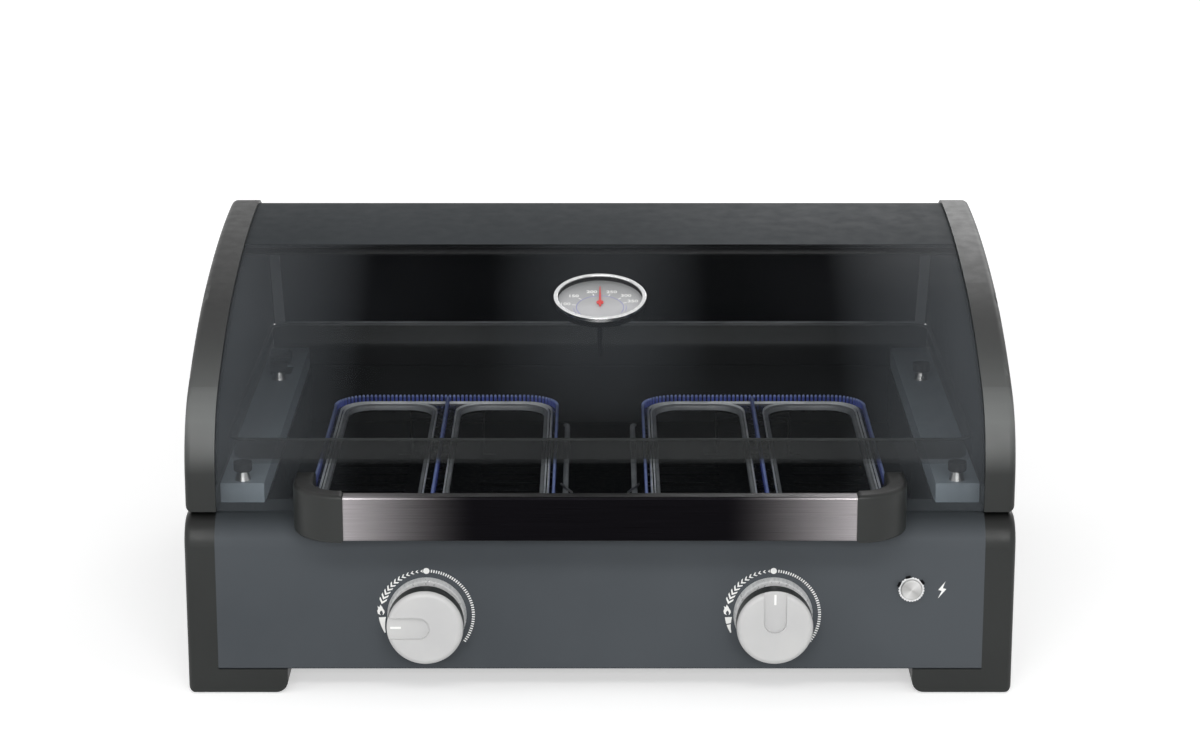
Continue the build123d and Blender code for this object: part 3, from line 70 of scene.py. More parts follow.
class Finish:
    """A procedural material. Its methods add texture nodes and plug them into the shader."""

    def __init__(self, name, **sockets):
        self.material = bpy.data.materials.new(name)
        self.material.use_nodes = True
        self.nodes = self.material.node_tree.nodes
        self.links = self.material.node_tree.links
        self.shader = next(n for n in self.nodes if n.type == "BSDF_PRINCIPLED")
        self.place = self.nodes.new("ShaderNodeTexCoord")
        for socket, value in sockets.items():
            self.shader.inputs[socket.replace("_", " ")].default_value = value

    def node(self, kind, **settings):
        made = self.nodes.new(kind)
        for key, value in settings.items():
            setattr(made, key, value)
        return made

    def plug(self, source, target):
        self.links.new(source, target)

    def mapped(self, **sockets):
        """The object's own coordinates, moved, turned or stretched."""
        made = self.node("ShaderNodeMapping")
        for socket, value in sockets.items():
            made.inputs[socket].default_value = value
        self.plug(self.place.outputs["Object"], made.inputs["Vector"])
        return made.outputs["Vector"]

    def noise(self, scale, stretch=None, detail=3.0):
        made = self.node("ShaderNodeTexNoise")
        where = self.mapped(Scale=stretch) if stretch else self.place.outputs["Object"]
        self.plug(where, made.inputs["Vector"])
        made.inputs["Scale"].default_value = scale
        made.inputs["Detail"].default_value = detail
        return made.outputs["Fac"]

    def part(self, axis):
        """One coordinate of the surface, in metres."""
        made = self.node("ShaderNodeSeparateXYZ")
        self.plug(self.place.outputs["Object"], made.inputs[0])
        return made.outputs[axis]

    def along(self, direction):
        """How far the surface faces a direction of the object, from -1 to 1."""
        made = self.node("ShaderNodeVectorMath", operation="DOT_PRODUCT")
        self.plug(self.place.outputs["Normal"], made.inputs[0])
        made.inputs[1].default_value = direction
        return made.outputs["Value"]

    def maths(self, operation, *sources):
        made = self.node("ShaderNodeMath", operation=operation)
        for index, source in enumerate(sources):
            self.plug(source, made.inputs[index])
        return made.outputs["Value"]

    def off_middle(self):
        """The distance from the plane that halves the object from left to right."""
        return self.maths("ABSOLUTE", self.part("X"))

    def times(self, first, second):
        return self.maths("MULTIPLY", first, second)

    def fade(self, value, start, end, at_start=0.0, at_end=1.0):
        """Goes from one amount to another while the value goes from start to end."""
        made = self.node("ShaderNodeMapRange")
        self.plug(value, made.inputs["Value"])
        made.inputs["From Min"].default_value = start
        made.inputs["From Max"].default_value = end
        made.inputs["To Min"].default_value = at_start
        made.inputs["To Max"].default_value = at_end
        return made.outputs["Result"]

    def uneven(self, pattern, low, high):
        """An amount that wanders between two limits with a noise."""
        return self.fade(pattern, noise_low, noise_high, low, high)

    def colours(self, value, *stops):
        made = self.node("ShaderNodeValToRGB")
        self.plug(value, made.inputs["Fac"])
        elements = made.color_ramp.elements
        while len(elements) < len(stops):
            elements.new(0.5)
        for element, (position, code) in zip(elements, stops):
            element.position = position
            element.color = paint(code)
        return made.outputs["Color"]

    def streaks(self, pattern, dark, light):
        """Two tones that follow a noise."""
        return self.colours(pattern, (noise_low, dark), (noise_high, light))

    def clouds(self, dark, light, scale, detail=5.0, edge=0.36):
        """Two close tones in soft clouds."""
        return self.colours(self.noise(scale, detail=detail), (edge, dark), (1 - edge, light))

    def blend(self, share, first, second):
        """Mixes two colours: first where the share is 0, second where it is 1."""
        made = self.node("ShaderNodeMix", data_type="RGBA")
        self.plug(share, made.inputs["Factor"])
        self.plug(first, made.inputs[6])
        self.plug(second, made.inputs[7])
        return made.outputs[2]

    def colour(self, socket):
        self.plug(socket, self.shader.inputs["Base Color"])

    def cover(self, socket):
        self.plug(socket, self.shader.inputs["Alpha"])

    def rough(self, socket):
        self.plug(socket, self.shader.inputs["Roughness"])

    def gloss(self, scale, low, high, stretch=None, detail=4.0):
        """Roughness that wanders between two limits."""
        self.rough(self.uneven(self.noise(scale, stretch, detail), low, high))

    def relief(self, height, depth):
        """A bump of this depth in millimetres."""
        made = self.node("ShaderNodeBump")
        made.inputs["Distance"].default_value = depth * MM
        self.plug(height, made.inputs["Height"])
        self.plug(made.outputs["Normal"], self.shader.inputs["Normal"])

    def grain(self, scale, depth, detail=2.0):
        self.relief(self.noise(scale, detail=detail), depth)


def coated(name, dark, light, rough, grain, depth, cloud, **sockets):
    """Paint, plastic or rubber: two close tones in soft clouds, uneven gloss and a fine grain."""
    gloss_per_cloud = 14
    made = Finish(name, **sockets)
    made.colour(made.clouds(dark, light, cloud))
    made.gloss(cloud * gloss_per_cloud, *rough)
    made.grain(grain, depth)
    return made


def metal(name, dark, light, rough, stretch, depth, metallic=1.0):
    """Bare metal with brushing or turning marks that run along one direction."""
    gloss_per_mark = 0.6
    made = Finish(name, Metallic=metallic)
    marks = made.noise(1.0, stretch, detail=4.0)
    made.colour(made.streaks(marks, dark, light))
    made.gloss(1.0, *rough, stretch=tuple(s * gloss_per_mark for s in stretch), detail=3.0)
    made.relief(marks, depth)
    return made


def glass(name, dark, light, rough, specular, **sockets):
    """A see-through sheet: its own tint and faint smears in its gloss."""
    made = Finish(name, Specular_IOR_Level=specular, **sockets)
    made.colour(made.clouds(dark, light, scale=6.0, detail=4.0, edge=0.35))
    made.gloss(22.0, *rough, stretch=(1, 3, 3), detail=5.0)
    made.grain(scale=30.0, depth=0.02, detail=3.0)
    return made


def panel_paint():
    """Satin enamel outside, with painted shade making it darker on top, and black heat-proof enamel inside
    with painted shade on it, darkest in the middle.
    """
    made = Finish("panel_paint", Specular_IOR_Level=0.02)
    upright = made.clouds("4b4f53", "52565a", scale=5.0, edge=0.35)
    # Painted shade: a darker copy of the paint for faces that look up
    shaded_top = made.clouds("33373a", "3a3e41", scale=5.0, edge=0.35)
    outside = made.blend(made.fade(made.along((0, 0, 1)), 0.3, 0.9), upright, shaded_top)
    # Inside: black enamel with painted shade, darkest in the middle and greyer towards the sides
    enamel_shade_middle = made.clouds("050506", "0c0c0e", scale=14.0, detail=6.0, edge=0.3)
    enamel_shade_side = made.clouds("2b2c2f", "333438", scale=14.0, detail=6.0, edge=0.3)
    enamel_and_shade_inside = made.blend(made.fade(made.off_middle(), 0.12, 0.285), enamel_shade_middle, enamel_shade_side)
    facing_in = made.fade(made.along((0, 0.45, 0.85)), -0.1, 0.1, 1.0, 0.0)
    behind_panel = made.fade(made.part("Y"), -0.170, -0.160)
    made.colour(made.blend(made.times(facing_in, behind_panel), outside, enamel_and_shade_inside))
    made.gloss(90.0, 0.4, 0.5)
    made.grain(400.0, 0.004)
    return made


def liner_enamel():
    """Grey enamel of the hood's inner sides, with painted shade that darkens it downwards and a painted
    highlight that makes a flange paler.
    """
    made = Finish("liner_enamel", Specular_IOR_Level=0.05)
    unshaded_top = made.clouds("5a5e62", "63676b", scale=9.0, edge=0.35)
    # Painted shade: a darker copy of the enamel towards the bottom of the hood
    smoke_and_shade = made.clouds("26282a", "303234", scale=12.0, detail=6.0, edge=0.35)
    sheet_side = made.blend(made.fade(made.part("Z"), 0.17, 0.27, 1.0, 0.0), unshaded_top, smoke_and_shade)
    # Painted highlight: a paler copy of the enamel on the flange
    edge = made.clouds("8a8e92", "94989b", scale=9.0, edge=0.35)
    made.colour(made.blend(made.fade(made.off_middle(), 0.2845, 0.2852, 1.0, 0.0), sheet_side, edge))
    made.gloss(90.0, 0.45, 0.55)
    made.grain(90.0, 0.004)
    return made


def outer_steel():
    """Black sheet, greyer where it faces back and down; its faces towards the inside are painted near black
    as shade.
    """
    made = Finish("outer_steel", Specular_IOR_Level=0.12)
    # Painted shade: the faces that look into the body
    shaded_inside = made.clouds("0d0e0f", "151617", scale=16.0)
    facing_out = made.clouds("26282a", "2e3032", scale=16.0)
    made.colour(made.blend(made.fade(made.along((0, 0.8, -0.6)), 0.3, 0.5), shaded_inside, facing_out))
    made.gloss(220.0, 0.45, 0.6)
    made.grain(400.0, 0.004)
    return made


def cap_plastic():
    """Black moulded plastic, with painted shade darkest on top, and a painted highlight as a soft band on
    the front curve of the hood.
    """
    made = Finish("cap_plastic", Specular_IOR_Level=0.3)
    upright = made.clouds("202221", "262827", scale=7.0)
    # Painted shade: a near black copy for faces that look up
    shaded_top = made.clouds("080908", "0c0d0c", scale=7.0)
    # Painted highlight: a pale copy for the front curve of the hood, where it faces forward between the
    # heights below
    painted_sheen = made.clouds("626463", "6c6e6d", scale=7.0)
    plain = made.blend(made.fade(made.along((0, 0, 1)), 0.25, 0.85), upright, shaded_top)
    to_front = made.fade(made.along((0, -1, 0)), 0.25, 0.55)
    on_curve = made.times(made.fade(made.part("Z"), 0.168, 0.205),
                          made.fade(made.part("Z"), 0.215, 0.275, 1.0, 0.0))
    made.colour(made.blend(made.times(to_front, on_curve), plain, painted_sheen))
    made.gloss(98.0, 0.36, 0.46)
    made.grain(1700.0, 0.03)
    return made


def knob_plastic():
    """A pale cap in front of a black skirt."""
    made = Finish("knob_plastic")
    cap_thickness = 0.0035
    cap_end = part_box("knob_left")[0].y + cap_thickness
    cap = made.clouds("c1c1c1", "c8c8c7", scale=25.0)
    skirt = made.clouds("141716", "1c201f", scale=30.0)
    made.colour(made.blend(made.fade(made.part("Y"), cap_end - 0.0001, cap_end + 0.0001), cap, skirt))
    made.gloss(350.0, 0.32, 0.42)
    made.grain(1800.0, 0.02)
    return made


def dial_paint():
    """Pale grey, shaded by the bezel towards its top."""
    made = Finish("dial_paint")
    low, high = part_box("thermometer_dial")
    lit = made.clouds("bdbdbf", "c6c6c8", scale=30.0)
    shaded = made.clouds("7f8181", "888a8a", scale=30.0)
    made.colour(made.blend(made.fade(made.part("Z"), low.z + 0.007, high.z), lit, shaded))
    made.gloss(420.0, 0.4, 0.5)
    made.grain(1500.0, 0.01)
    return made


def bar_steel():
    """Handle bar: brushed along its length, with a painted dark reflection over its middle."""
    made = Finish("bar_steel", Metallic=1.0)
    brushing = made.noise(1.0, (12, 2600, 2600), detail=4.0)
    bright = made.streaks(brushing, "8f8b8d", "a5a1a3")
    # Painted reflection: the middle of the bar near black
    painted_dark_middle = made.streaks(brushing, "0b0a0c", "111013")
    clear = made.fade(made.off_middle(), 0.09, 0.19)
    made.colour(made.blend(made.times(clear, clear), painted_dark_middle, bright))
    made.gloss(1.0, 0.26, 0.38, stretch=(20, 1200, 1200), detail=3.0)
    made.relief(brushing, 0.02)
    return made


def cast_iron():
    """Black and glossy from heat."""
    made = Finish("cast_iron", Metallic=0.6, Specular_IOR_Level=0.3)
    made.colour(made.clouds("050506", "0d0e0f", scale=45.0, detail=6.0, edge=0.3))
    made.gloss(130.0, 0.18, 0.32, detail=5.0)
    made.grain(500.0, 0.006, detail=3.0)
    return made


def flame_painted_steel():
    """Port crimps and rims of the burners: painted blue as the glow of the burners' flames, lighter along
    their tops.
    """
    made = Finish("flame_painted_steel", Metallic=0.2)
    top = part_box("burner_left")[1].z
    # Painted light: the blue glow of the flames, lighter along the tops
    tint = made.clouds("3a4898", "5062c0", scale=60.0, detail=4.0, edge=0.3)
    flame_core = made.clouds("8fa4e4", "b2c4f6", scale=80.0, detail=4.0, edge=0.3)
    made.colour(made.blend(made.fade(made.part("Z"), top - 0.0022, top), tint, flame_core))
    made.gloss(300.0, 0.3, 0.5)
    made.grain(600.0, 0.006, detail=3.0)
    return made


def plate_glass():
    """The griddle plate: its floor nearly clear, its walls plainer to see, most of all at the rear."""
    made = glass("plate_glass", "4b4d4e", "555757", rough=(0.3, 0.44), specular=0.02)
    across = made.maths("ABSOLUTE", made.along((0, 1, 0)))
    rear_end = made.fade(made.part("Y"), 0.15, 0.16, 1.0, 2.1)
    made.cover(made.times(made.fade(across, 0.5, 0.9, 0.08, 0.2), rear_end))
    return made


def hood_glass():
    """The hood's front: clear, with a soft painted reflection in the middle, and a grey smoke tint towards
    its sides.
    """
    made = glass("hood_glass", "4e5256", "565a5e", rough=(0.3, 0.42), specular=0.02)
    smoke_and_shade = made.times(made.fade(made.off_middle(), 0.18, 0.287, 0.02, 0.5),
                        made.fade(made.part("Z"), 0.17, 0.24, 0.55, 1.0))
    # Painted reflection: a faint grey over the middle of the pane, high up
    painted_sheen = made.times(made.fade(made.off_middle(), 0.02, 0.085, 0.16, 0.0),
                       made.fade(made.part("Z"), 0.2, 0.24))
    made.cover(made.maths("ADD", smoke_and_shade, painted_sheen))
    return made


def rim_steel():
    """Rim of the plate: dark enamel, with a painted highlight along its rear."""
    made = Finish("rim_steel", Specular_IOR_Level=0.1)
    front = made.clouds("2a2c2c", "333535", scale=20.0, edge=0.35)
    # Painted highlight: a light grey copy along the rear of the rim
    rear = made.clouds("65686a", "76797b", scale=20.0, edge=0.35)
    made.colour(made.blend(made.fade(made.part("Y"), 0.0, 0.168), front, rear))
    made.gloss(200.0, 0.45, 0.6)
    made.grain(300.0, 0.006)
    return made


def button_turned():
    """Igniter button: turned metal, whose rings catch the light in two opposite sectors."""
    made = Finish("button_turned", Metallic=0.3)
    low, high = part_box("igniter_button")
    middle = (low + high) / 2
    reach = made.node("ShaderNodeVectorMath", operation="LENGTH")
    made.plug(made.mapped(Location=(-middle.x, 0, -middle.z), Scale=(1, 0, 1)), reach.inputs[0])
    turning = made.node("ShaderNodeTexNoise", noise_dimensions="1D")
    turning.inputs["Scale"].default_value = 2600.0
    made.plug(reach.outputs["Value"], turning.inputs["W"])
    rings = turning.outputs["Fac"]
    sector = made.node("ShaderNodeTexGradient", gradient_type="RADIAL")
    made.plug(made.mapped(Location=(-middle.x, -middle.z, 0), Rotation=(-math.pi / 2, 0, 0)),
              sector.inputs["Vector"])
    # Painted highlight: two opposite light sectors on the turned rings
    painted_sheen = made.colours(sector.outputs["Fac"], (0.0, "a2a2a1"), (0.153, "d9d9d8"), (0.403, "9a9a99"),
                         (0.625, "dededd"), (0.903, "979796"), (1.0, "a2a2a1"))
    marks = made.streaks(rings, "a9a8a7", "d6d5d4")
    made.colour(made.blend(made.uneven(made.noise(60.0), 0.25, 0.4), painted_sheen, marks))
    made.rough(made.uneven(rings, 0.3, 0.42))
    made.relief(rings, 0.02)
    return made


finishes = {
    "panel_paint": panel_paint(),
    "inner_steel": coated("inner_steel", "0d0e0f", "151617", (0.5, 0.65), grain=400.0, depth=0.004,
                          cloud=16.0, Specular_IOR_Level=0.06),
    "ledge_steel": coated("ledge_steel", "929fa8", "a0adb6", (0.34, 0.45), grain=900.0, depth=0.01,
                          cloud=8.0),
    "cap_plastic": cap_plastic(),
    "pad_rubber": coated("pad_rubber", "18181a", "232324", (0.75, 0.9), grain=900.0, depth=0.1, cloud=40.0),
    "ring_plastic": coated("ring_plastic", "1a1d1c", "222625", (0.42, 0.55), grain=1400.0, depth=0.06,
                           cloud=30.0),
    "knob_plastic": knob_plastic(),
    "ceramic": coated("ceramic", "ddd8cd", "ece8df", (0.15, 0.25), grain=500.0, depth=0.03, cloud=60.0),
    "lead_rubber": coated("lead_rubber", "1c1c1d", "262627", (0.55, 0.7), grain=1200.0, depth=0.04,
                          cloud=40.0),
    "dial_paint": dial_paint(),
    "needle_paint": coated("needle_paint", "d0140f", "e11d14", (0.3, 0.4), grain=1500.0, depth=0.02,
                           cloud=90.0),
    "pipe_steel": metal("pipe_steel", "a4a5a5", "bebebd", (0.28, 0.4), stretch=(900, 60, 900), depth=0.02),
    "bezel_chrome": metal("bezel_chrome", "d2d3d4", "e4e4e4", (0.1, 0.2), stretch=(300, 300, 300),
                          depth=0.01),
    "brass": metal("brass", "b28a46", "cda55c", (0.25, 0.4), stretch=(90, 900, 90), depth=0.03),
    "cup_aluminium": metal("cup_aluminium", "9fa1a3", "b3b4b6", (0.4, 0.55), stretch=(200, 40, 200),
                           depth=0.03),
    "bar_steel": bar_steel(),
    "cast_iron": cast_iron(),
    "plate_glass": plate_glass(),
    "lens_glass": glass("lens_glass", "e6eaee", "f2f5f8", rough=(0.02, 0.06), specular=0.1, Alpha=0.02),
    "hood_glass": hood_glass(),
}

# Finishes of single pieces
liner = liner_enamel()
black_sheet = outer_steel()
gauge_black = coated("gauge_black", "08080a", "101012", (0.5, 0.65), grain=400.0, depth=0.004, cloud=40.0,
                     Specular_IOR_Level=0.05)
knurled = metal("knurled_chrome", "dcdddd", "f0f0f0", (0.25, 0.4), stretch=(500, 40, 500), depth=0.01,
                metallic=0.35)
# Painted highlight: light grey on the raised beads of the burners
bead_highlight = coated("bead_highlight_steel", "b4b9bc", "d2d6d9", (0.25, 0.4), grain=500.0, depth=0.006, cloud=60.0)
# Painted highlight: mid grey on the burners' window flanges and rods, and on the rolled hem of the hood's
# rear wall
flange = coated("flange_highlight", "6c7073", "82868a", (0.3, 0.45), grain=500.0, depth=0.006, cloud=40.0)
flame_paint = flame_painted_steel()
rim_with_highlight = rim_steel()
print_ink = coated("print_ink", "f0f0ee", "f8f8f6", (0.45, 0.6), grain=1500.0, depth=0.01, cloud=60.0)
scale_ink = coated("scale_ink", "8788c4", "9495d0", (0.45, 0.6), grain=1500.0, depth=0.01, cloud=60.0)

own_finish = {
    "hood_liner_left": liner, "hood_liner_right": liner,
    "rear_panel": black_sheet, "bottom_pan": black_sheet,
    "thermometer_case": gauge_black, "thermometer_probe": gauge_black, "thermometer_nut": gauge_black,
    "igniter_button": button_turned(),
}
for name, node in nodes.items():
    node.data.materials.clear()
    node.data.materials.append(own_finish.get(name, finishes[slot_of[name]]).material)


# Shapes, in millimetres

def corners(name):
    """The lowest and the highest corner of a node."""
    low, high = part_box(name)
    return low / MM, high / MM


def middle_of(name):
    low, high = corners(name)
    return (low + high) / 2


def piece(name, mesh, finish, body, smooth=35, place=Matrix.Identity(4), outwards=True):
    """Makes a mesh a piece of the object: set in its place, smooth up to an angle, and on its body."""
    if outwards:
        bmesh.ops.recalc_face_normals(mesh, faces=mesh.faces)
    bmesh.ops.transform(mesh, matrix=Matrix.Scale(MM, 4) @ place, verts=mesh.verts)
    mesh.normal_update()
    data = bpy.data.meshes.new(name)
    mesh.to_mesh(data)
    mesh.free()
    made = bpy.data.objects.new(name, data)
    bpy.context.scene.collection.objects.link(made)
    data.materials.append(finish.material)
    for polygon in data.polygons:
        polygon.use_smooth = True
    data.set_sharp_from_angle(angle=math.radians(smooth))
    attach(made, body)
    return made


def on_front(x, y, z):
    """A place whose own x runs right, own y up and own z towards the front."""
    return Matrix(((1, 0, 0, x), (0, 0, -1, y), (0, 1, 0, z), (0, 0, 0, 1)))


def turned(angle, radius=0.0):
    """A place at an angle clockwise from straight up, turned with it, and this far from the middle."""
    return Matrix.Rotation(math.radians(-angle), 4, "Z") @ Matrix.Translation((0, radius, 0))


def polar(radius, angle):
    """A point by its radius and its angle clockwise from straight up, in degrees."""
    turn = math.radians(angle)
    return (radius * math.sin(turn), radius * math.cos(turn))


def circle(radius, steps):
    turns = [math.tau * step / steps for step in range(steps)]
    return [(radius * math.cos(turn), radius * math.sin(turn)) for turn in turns]


def strip(half_width, low, high):
    """The outline of an upright strip about x 0."""
    return [(-half_width, low), (half_width, low), (half_width, high), (-half_width, high)]


def band(start, end, steps, radii):
    """The outline of a curved band between two angles. Its (outer, inner) radii follow the angle."""
    turns = [start + (end - start) * step / steps for step in range(steps + 1)]
    outer = [polar(radii(turn)[0], turn) for turn in turns]
    inner = [polar(radii(turn)[1], turn) for turn in reversed(turns)]
    return outer + inner


def rounded_loop(half_x, half_y, radius, steps=7):
    """Points (x, y) round a rounded rectangle, anticlockwise from its right side."""
    points = []
    for corner_x, corner_y, start in ((1, 1, 0), (-1, 1, 90), (-1, -1, 180), (1, -1, 270)):
        for step in range(steps + 1):
            turn = math.radians(start + 90 * step / steps)
            points.append((corner_x * (half_x - radius) + radius * math.cos(turn),
                           corner_y * (half_y - radius) + radius * math.sin(turn)))
    return points


def ring_of(mesh, points, z):
    return [mesh.verts.new((x, y, z)) for x, y in points]


def skinned(mesh, rings):
    """Faces between each ring of points and the next, which has as many."""
    for first, second in zip(rings, rings[1:]):
        for i in range(len(first)):
            j = (i + 1) % len(first)
            mesh.faces.new((first[i], first[j], second[j], second[i]))


def capped(mesh, rings):
    """Faces between rings of points, and one over each end."""
    skinned(mesh, rings)
    mesh.faces.new(list(reversed(rings[0])))
    mesh.faces.new(rings[-1])


def slab(mesh, points, thickness, place=Matrix.Identity(4)):
    """A flat plate with this outline of (x, y) points, from z 0 up, set in a place."""
    rings = [ring_of(mesh, points, 0), ring_of(mesh, points, thickness)]
    capped(mesh, rings)
    bmesh.ops.transform(mesh, matrix=place, verts=rings[0] + rings[1])


def revolved(mesh, stations, height, steps=28):
    """A turned shape along Y through (y, radius) stations, with its axis at this height."""
    skinned(mesh, [[mesh.verts.new((x, y, height + z)) for x, z in circle(radius, steps)]
                   for y, radius in stations])


def sweep(mesh, path, section):
    """A bead with this (across, height) section along an open path of (x, y) points."""
    rings = []
    for i, (x, y) in enumerate(path):
        before = path[max(i - 1, 0)]
        after = path[min(i + 1, len(path) - 1)]
        ahead = Vector((after[0] - before[0], after[1] - before[1], 0)).normalized()
        aside = Vector((ahead.y, -ahead.x, 0))
        rings.append([mesh.verts.new((x + aside.x * across, y + aside.y * across, height))
                      for across, height in section])
    capped(mesh, rings)


def bead(half_width, foot, top):
    """The section of a rounded bead: (across, height) points."""
    profile = ((-1.0, 0.0), (-0.92, 0.7), (-0.55, 0.94), (0.0, 1.0), (0.55, 0.94), (0.92, 0.7), (1.0, 0.0))
    return [(half_width * across, foot + (top - foot) * share) for across, share in profile]


def pin(mesh, x, y, radius, foot, top, steps=8):
    """A round upright pin with a domed top."""
    dome = ((1.0, foot), (1.0, top - radius), (0.8, top - radius * 0.4), (0.35, top))
    capped(mesh, [ring_of(mesh, [(x + dx, y + dy) for dx, dy in circle(radius * share, steps)], height)
                  for share, height in dome])


def lofted(mesh, section, loop):
    """A band through a loop at each (inset, height) of its section."""
    rings = [ring_of(mesh, loop(inset), height) for inset, height in section]
    skinned(mesh, rings)
    return rings


# Marks printed on the front panel

ink = 0.12
panel_front = corners("front_panel")[0].y
mark_radius = 34.8
dot_radius = 2.35
dot_pitch = 12
chevrons = 12
chevron_pitch = 6.0
chevron_size = 0.95
chevron_growth = 0.165
chevron_stroke = 0.9
stroke_growth = 0.08
ticks = 40
tick_start = 6.4
tick_pitch = 3.07
tick_outline = strip(0.45, -1.1, 1.1)
wedge_start = -93
wedge_end = -114
wedge_gap = (-101.5, -103)
wedge_steps = 8
wedge_outer = 36.1
wedge_outer_drop = 1.2
wedge_inner = 30.8
wedge_inner_rise = 3.3
flame_angle = -83.5
flame_radius = 34.5
flame = [(-1.1, -2.7), (-0.9, -1.4), (0.1, -0.3), (0.9, -1.2), (1.4, -2.5), (1.0, -3.9), (1.7, -3.5),
         (2.6, -2.0), (2.4, -0.4), (1.5, 0.9), (0.9, 2.4), (-0.6, 4.3), (-1.1, 2.2), (-2.6, 3.2),
         (-2.2, 1.1), (-2.9, -0.8), (-2.4, -2.9), (-0.4, -4.0)]
bolt = [(2.4, 6.7), (-2.8, 0.0), (-0.2, -0.7), (-2.9, -6.7), (3.2, 0.7), (0.5, 1.4)]
bolt_right = 23.2
bolt_drop = 1.5


def chevron(step):
    """A mark that points along the ring. It grows with each step."""
    size = chevron_size + chevron_growth * step
    stroke = chevron_stroke + stroke_growth * step
    back = size * 0.45
    tip = -size * 0.8
    return [(tip, 0), (back, -size), (back + stroke, -size),
            (tip + stroke * 1.25, 0), (back + stroke, size), (back, size)]


def wedge_radii(angle):
    """The outer and inner radius of the wedge at an angle. It narrows from both sides."""
    share = (wedge_start - angle) / (wedge_start - wedge_end)
    return wedge_outer - wedge_outer_drop * share, wedge_inner + wedge_inner_rise * share


def knob_marks(side):
    """A dot on top, chevrons to its left, ticks to its right, and a flame over a wedge at the low end."""
    marks = bmesh.new()
    dot = [polar(dot_radius, angle) for angle in range(360 - dot_pitch, -1, -dot_pitch)]
    slab(marks, dot, ink, Matrix.Translation((0, mark_radius, 0)))
    for step in range(chevrons):
        slab(marks, chevron(step), ink, turned(-chevron_pitch * (step + 1), mark_radius))
    for step in range(ticks):
        slab(marks, tick_outline, ink, turned(tick_start + step * tick_pitch, mark_radius))
    ends = (wedge_start, wedge_end) if side == "left" else (wedge_start, *wedge_gap, wedge_end)
    for start, end in zip(ends[::2], ends[1::2]):
        slab(marks, band(start, end, wedge_steps, wedge_radii), ink)
    slab(marks, flame, ink, Matrix.Translation((*polar(flame_radius, flame_angle), 0)))
    middle = middle_of(f"knob_{side}")
    piece(f"knob_marks_{side}", marks, print_ink, "base", place=on_front(middle.x, panel_front, middle.z))


def igniter_mark():
    mark = bmesh.new()
    slab(mark, bolt, ink)
    middle = middle_of("igniter_button")
    piece("igniter_mark", mark, print_ink, "base",
          place=on_front(middle.x + bolt_right, panel_front, middle.z - bolt_drop))


for side, _ in sides:
    knob_marks(side)
igniter_mark()

# Notches in the ring round the igniter's button, as thin black slabs of painted shade, and index bars in
# the knobs' recesses

notch = [(-2.0, 9.0), (2.0, 9.0), (1.8, 11.1), (-1.8, 11.1)]
notch_angles = (-66, -15, 54)
notch_thickness = 0.15
index_outline = strip(0.8, -4.0, 4.0)
index_radius = 21.8
index_thickness = 0.25
index_edge = 0.1
recess_depth = 3.0
index_angles = {"left": -90, "right": 0}


def igniter_notch_shadows():
    notches = bmesh.new()
    for angle in notch_angles:
        slab(notches, notch, notch_thickness, turned(angle))
    middle = middle_of("igniter_bezel")
    piece("igniter_notch_shadows", notches, gauge_black, "base",
          place=on_front(middle.x, corners("igniter_bezel")[0].y, middle.z))


def knob_index(side):
    index = bmesh.new()
    slab(index, index_outline, index_thickness, turned(index_angles[side], index_radius))
    bmesh.ops.bevel(index, geom=index.edges[:], offset=index_edge, segments=1)
    middle = middle_of(f"knob_{side}")
    place = on_front(middle.x, corners(f"knob_{side}")[0].y + recess_depth, middle.z)
    piece(f"knob_index_{side}", index, print_ink, f"knob_{side}", place=place, outwards=False)


igniter_notch_shadows()
for side, _ in sides:
    knob_index(side)

# Burners: sizes about the middle of each, heights above the ground

ring_half_x = 95.0
ring_half_y = 151.0
ring_middle_y = 1.0
ring_corner = 30.0
foot_height = 118.0
deck_height = 123.6
window_half_x = 35.25
window_half_y = 138.5
window_offset = 47.25
window_corner = 21.0

# Sections from the outside inwards, as (inset from the outline, height)
wall_section = ((0.0, foot_height), (0.0, 126.2), (0.4, 126.6), (0.8, 126.2), (1.0, deck_height),
                (8.4, deck_height))
outer_bead = ((5.0, 123.5), (5.3, 125.0), (6.0, 125.5), (6.7, 125.0), (7.0, 123.5))
window_bead = ((-4.7, 123.5), (-4.4, 125.2), (-3.9, 125.6), (-3.4, 125.2), (-3.1, 123.5))
window_flange = ((-2.9, 123.5), (-2.6, 124.3), (-0.5, 123.9), (0.0, 123.2), (0.0, 119.5))
window_wall = ((-4.0, deck_height), (-0.2, deck_height), (-0.2, foot_height))

# Mixing tube: (distance behind its mouth, radius) stations, two lugs and a saddle up to the ring
tube_height = 109.0
tube_profile = ((9, 6.4), (1.2, 7.8), (0, 8.9), (0.5, 9.4), (1.6, 9.4), (2.6, 8.6), (9, 8.4), (17, 9.0),
                (30, 9.4), (127, 9.4), (130, 8.0), (130, 1.0))
lug_outline = ((6.5, 8), (12.0, 8), (12.0, 16), (15.5, 20), (6.5, 20))
lug_thickness = 3.0
saddle = ((-9.0, tube_height), (9.0, tube_height), (12.0, foot_height + 0.4), (-12.0, foot_height + 0.4))
saddle_ends = (19, 128)

# Thin rod beside the ring, towards the middle of the object, and bent at its rear
rod_offset = 102.5
rod_front = -138.0
rod_bends = ((0.0, 92.0), (0.4, 96.0), (1.6, 99.0))
rod_section = bead(2.2, foot_height, 119.6)

# Rims: beads along the sides and the middle rib, and a row of crimps round the back, painted blue as the
# glow of the flames
rim_inset = 1.4
rim_section = bead(1.3, 123.0, 129.8)
rim_stations = (-118.0, -60.0, 0.0, 60.0, 121.0)
rim_starts = (0.45, 0.3, 0.15)
rib_section = bead(1.5, 123.0, 129.6)
rib_stations = (-124.0, -60.0, 0.0, 60.0, 148.0)
rib_tip_section = bead(0.8, 123.0, 127.6)
rib_tip_stations = (-131.0, rib_stations[0])
crimp_pitch = 3.55
crimp_radius = 1.25
crimp_foot = 122.8
crimp_top = 130.0


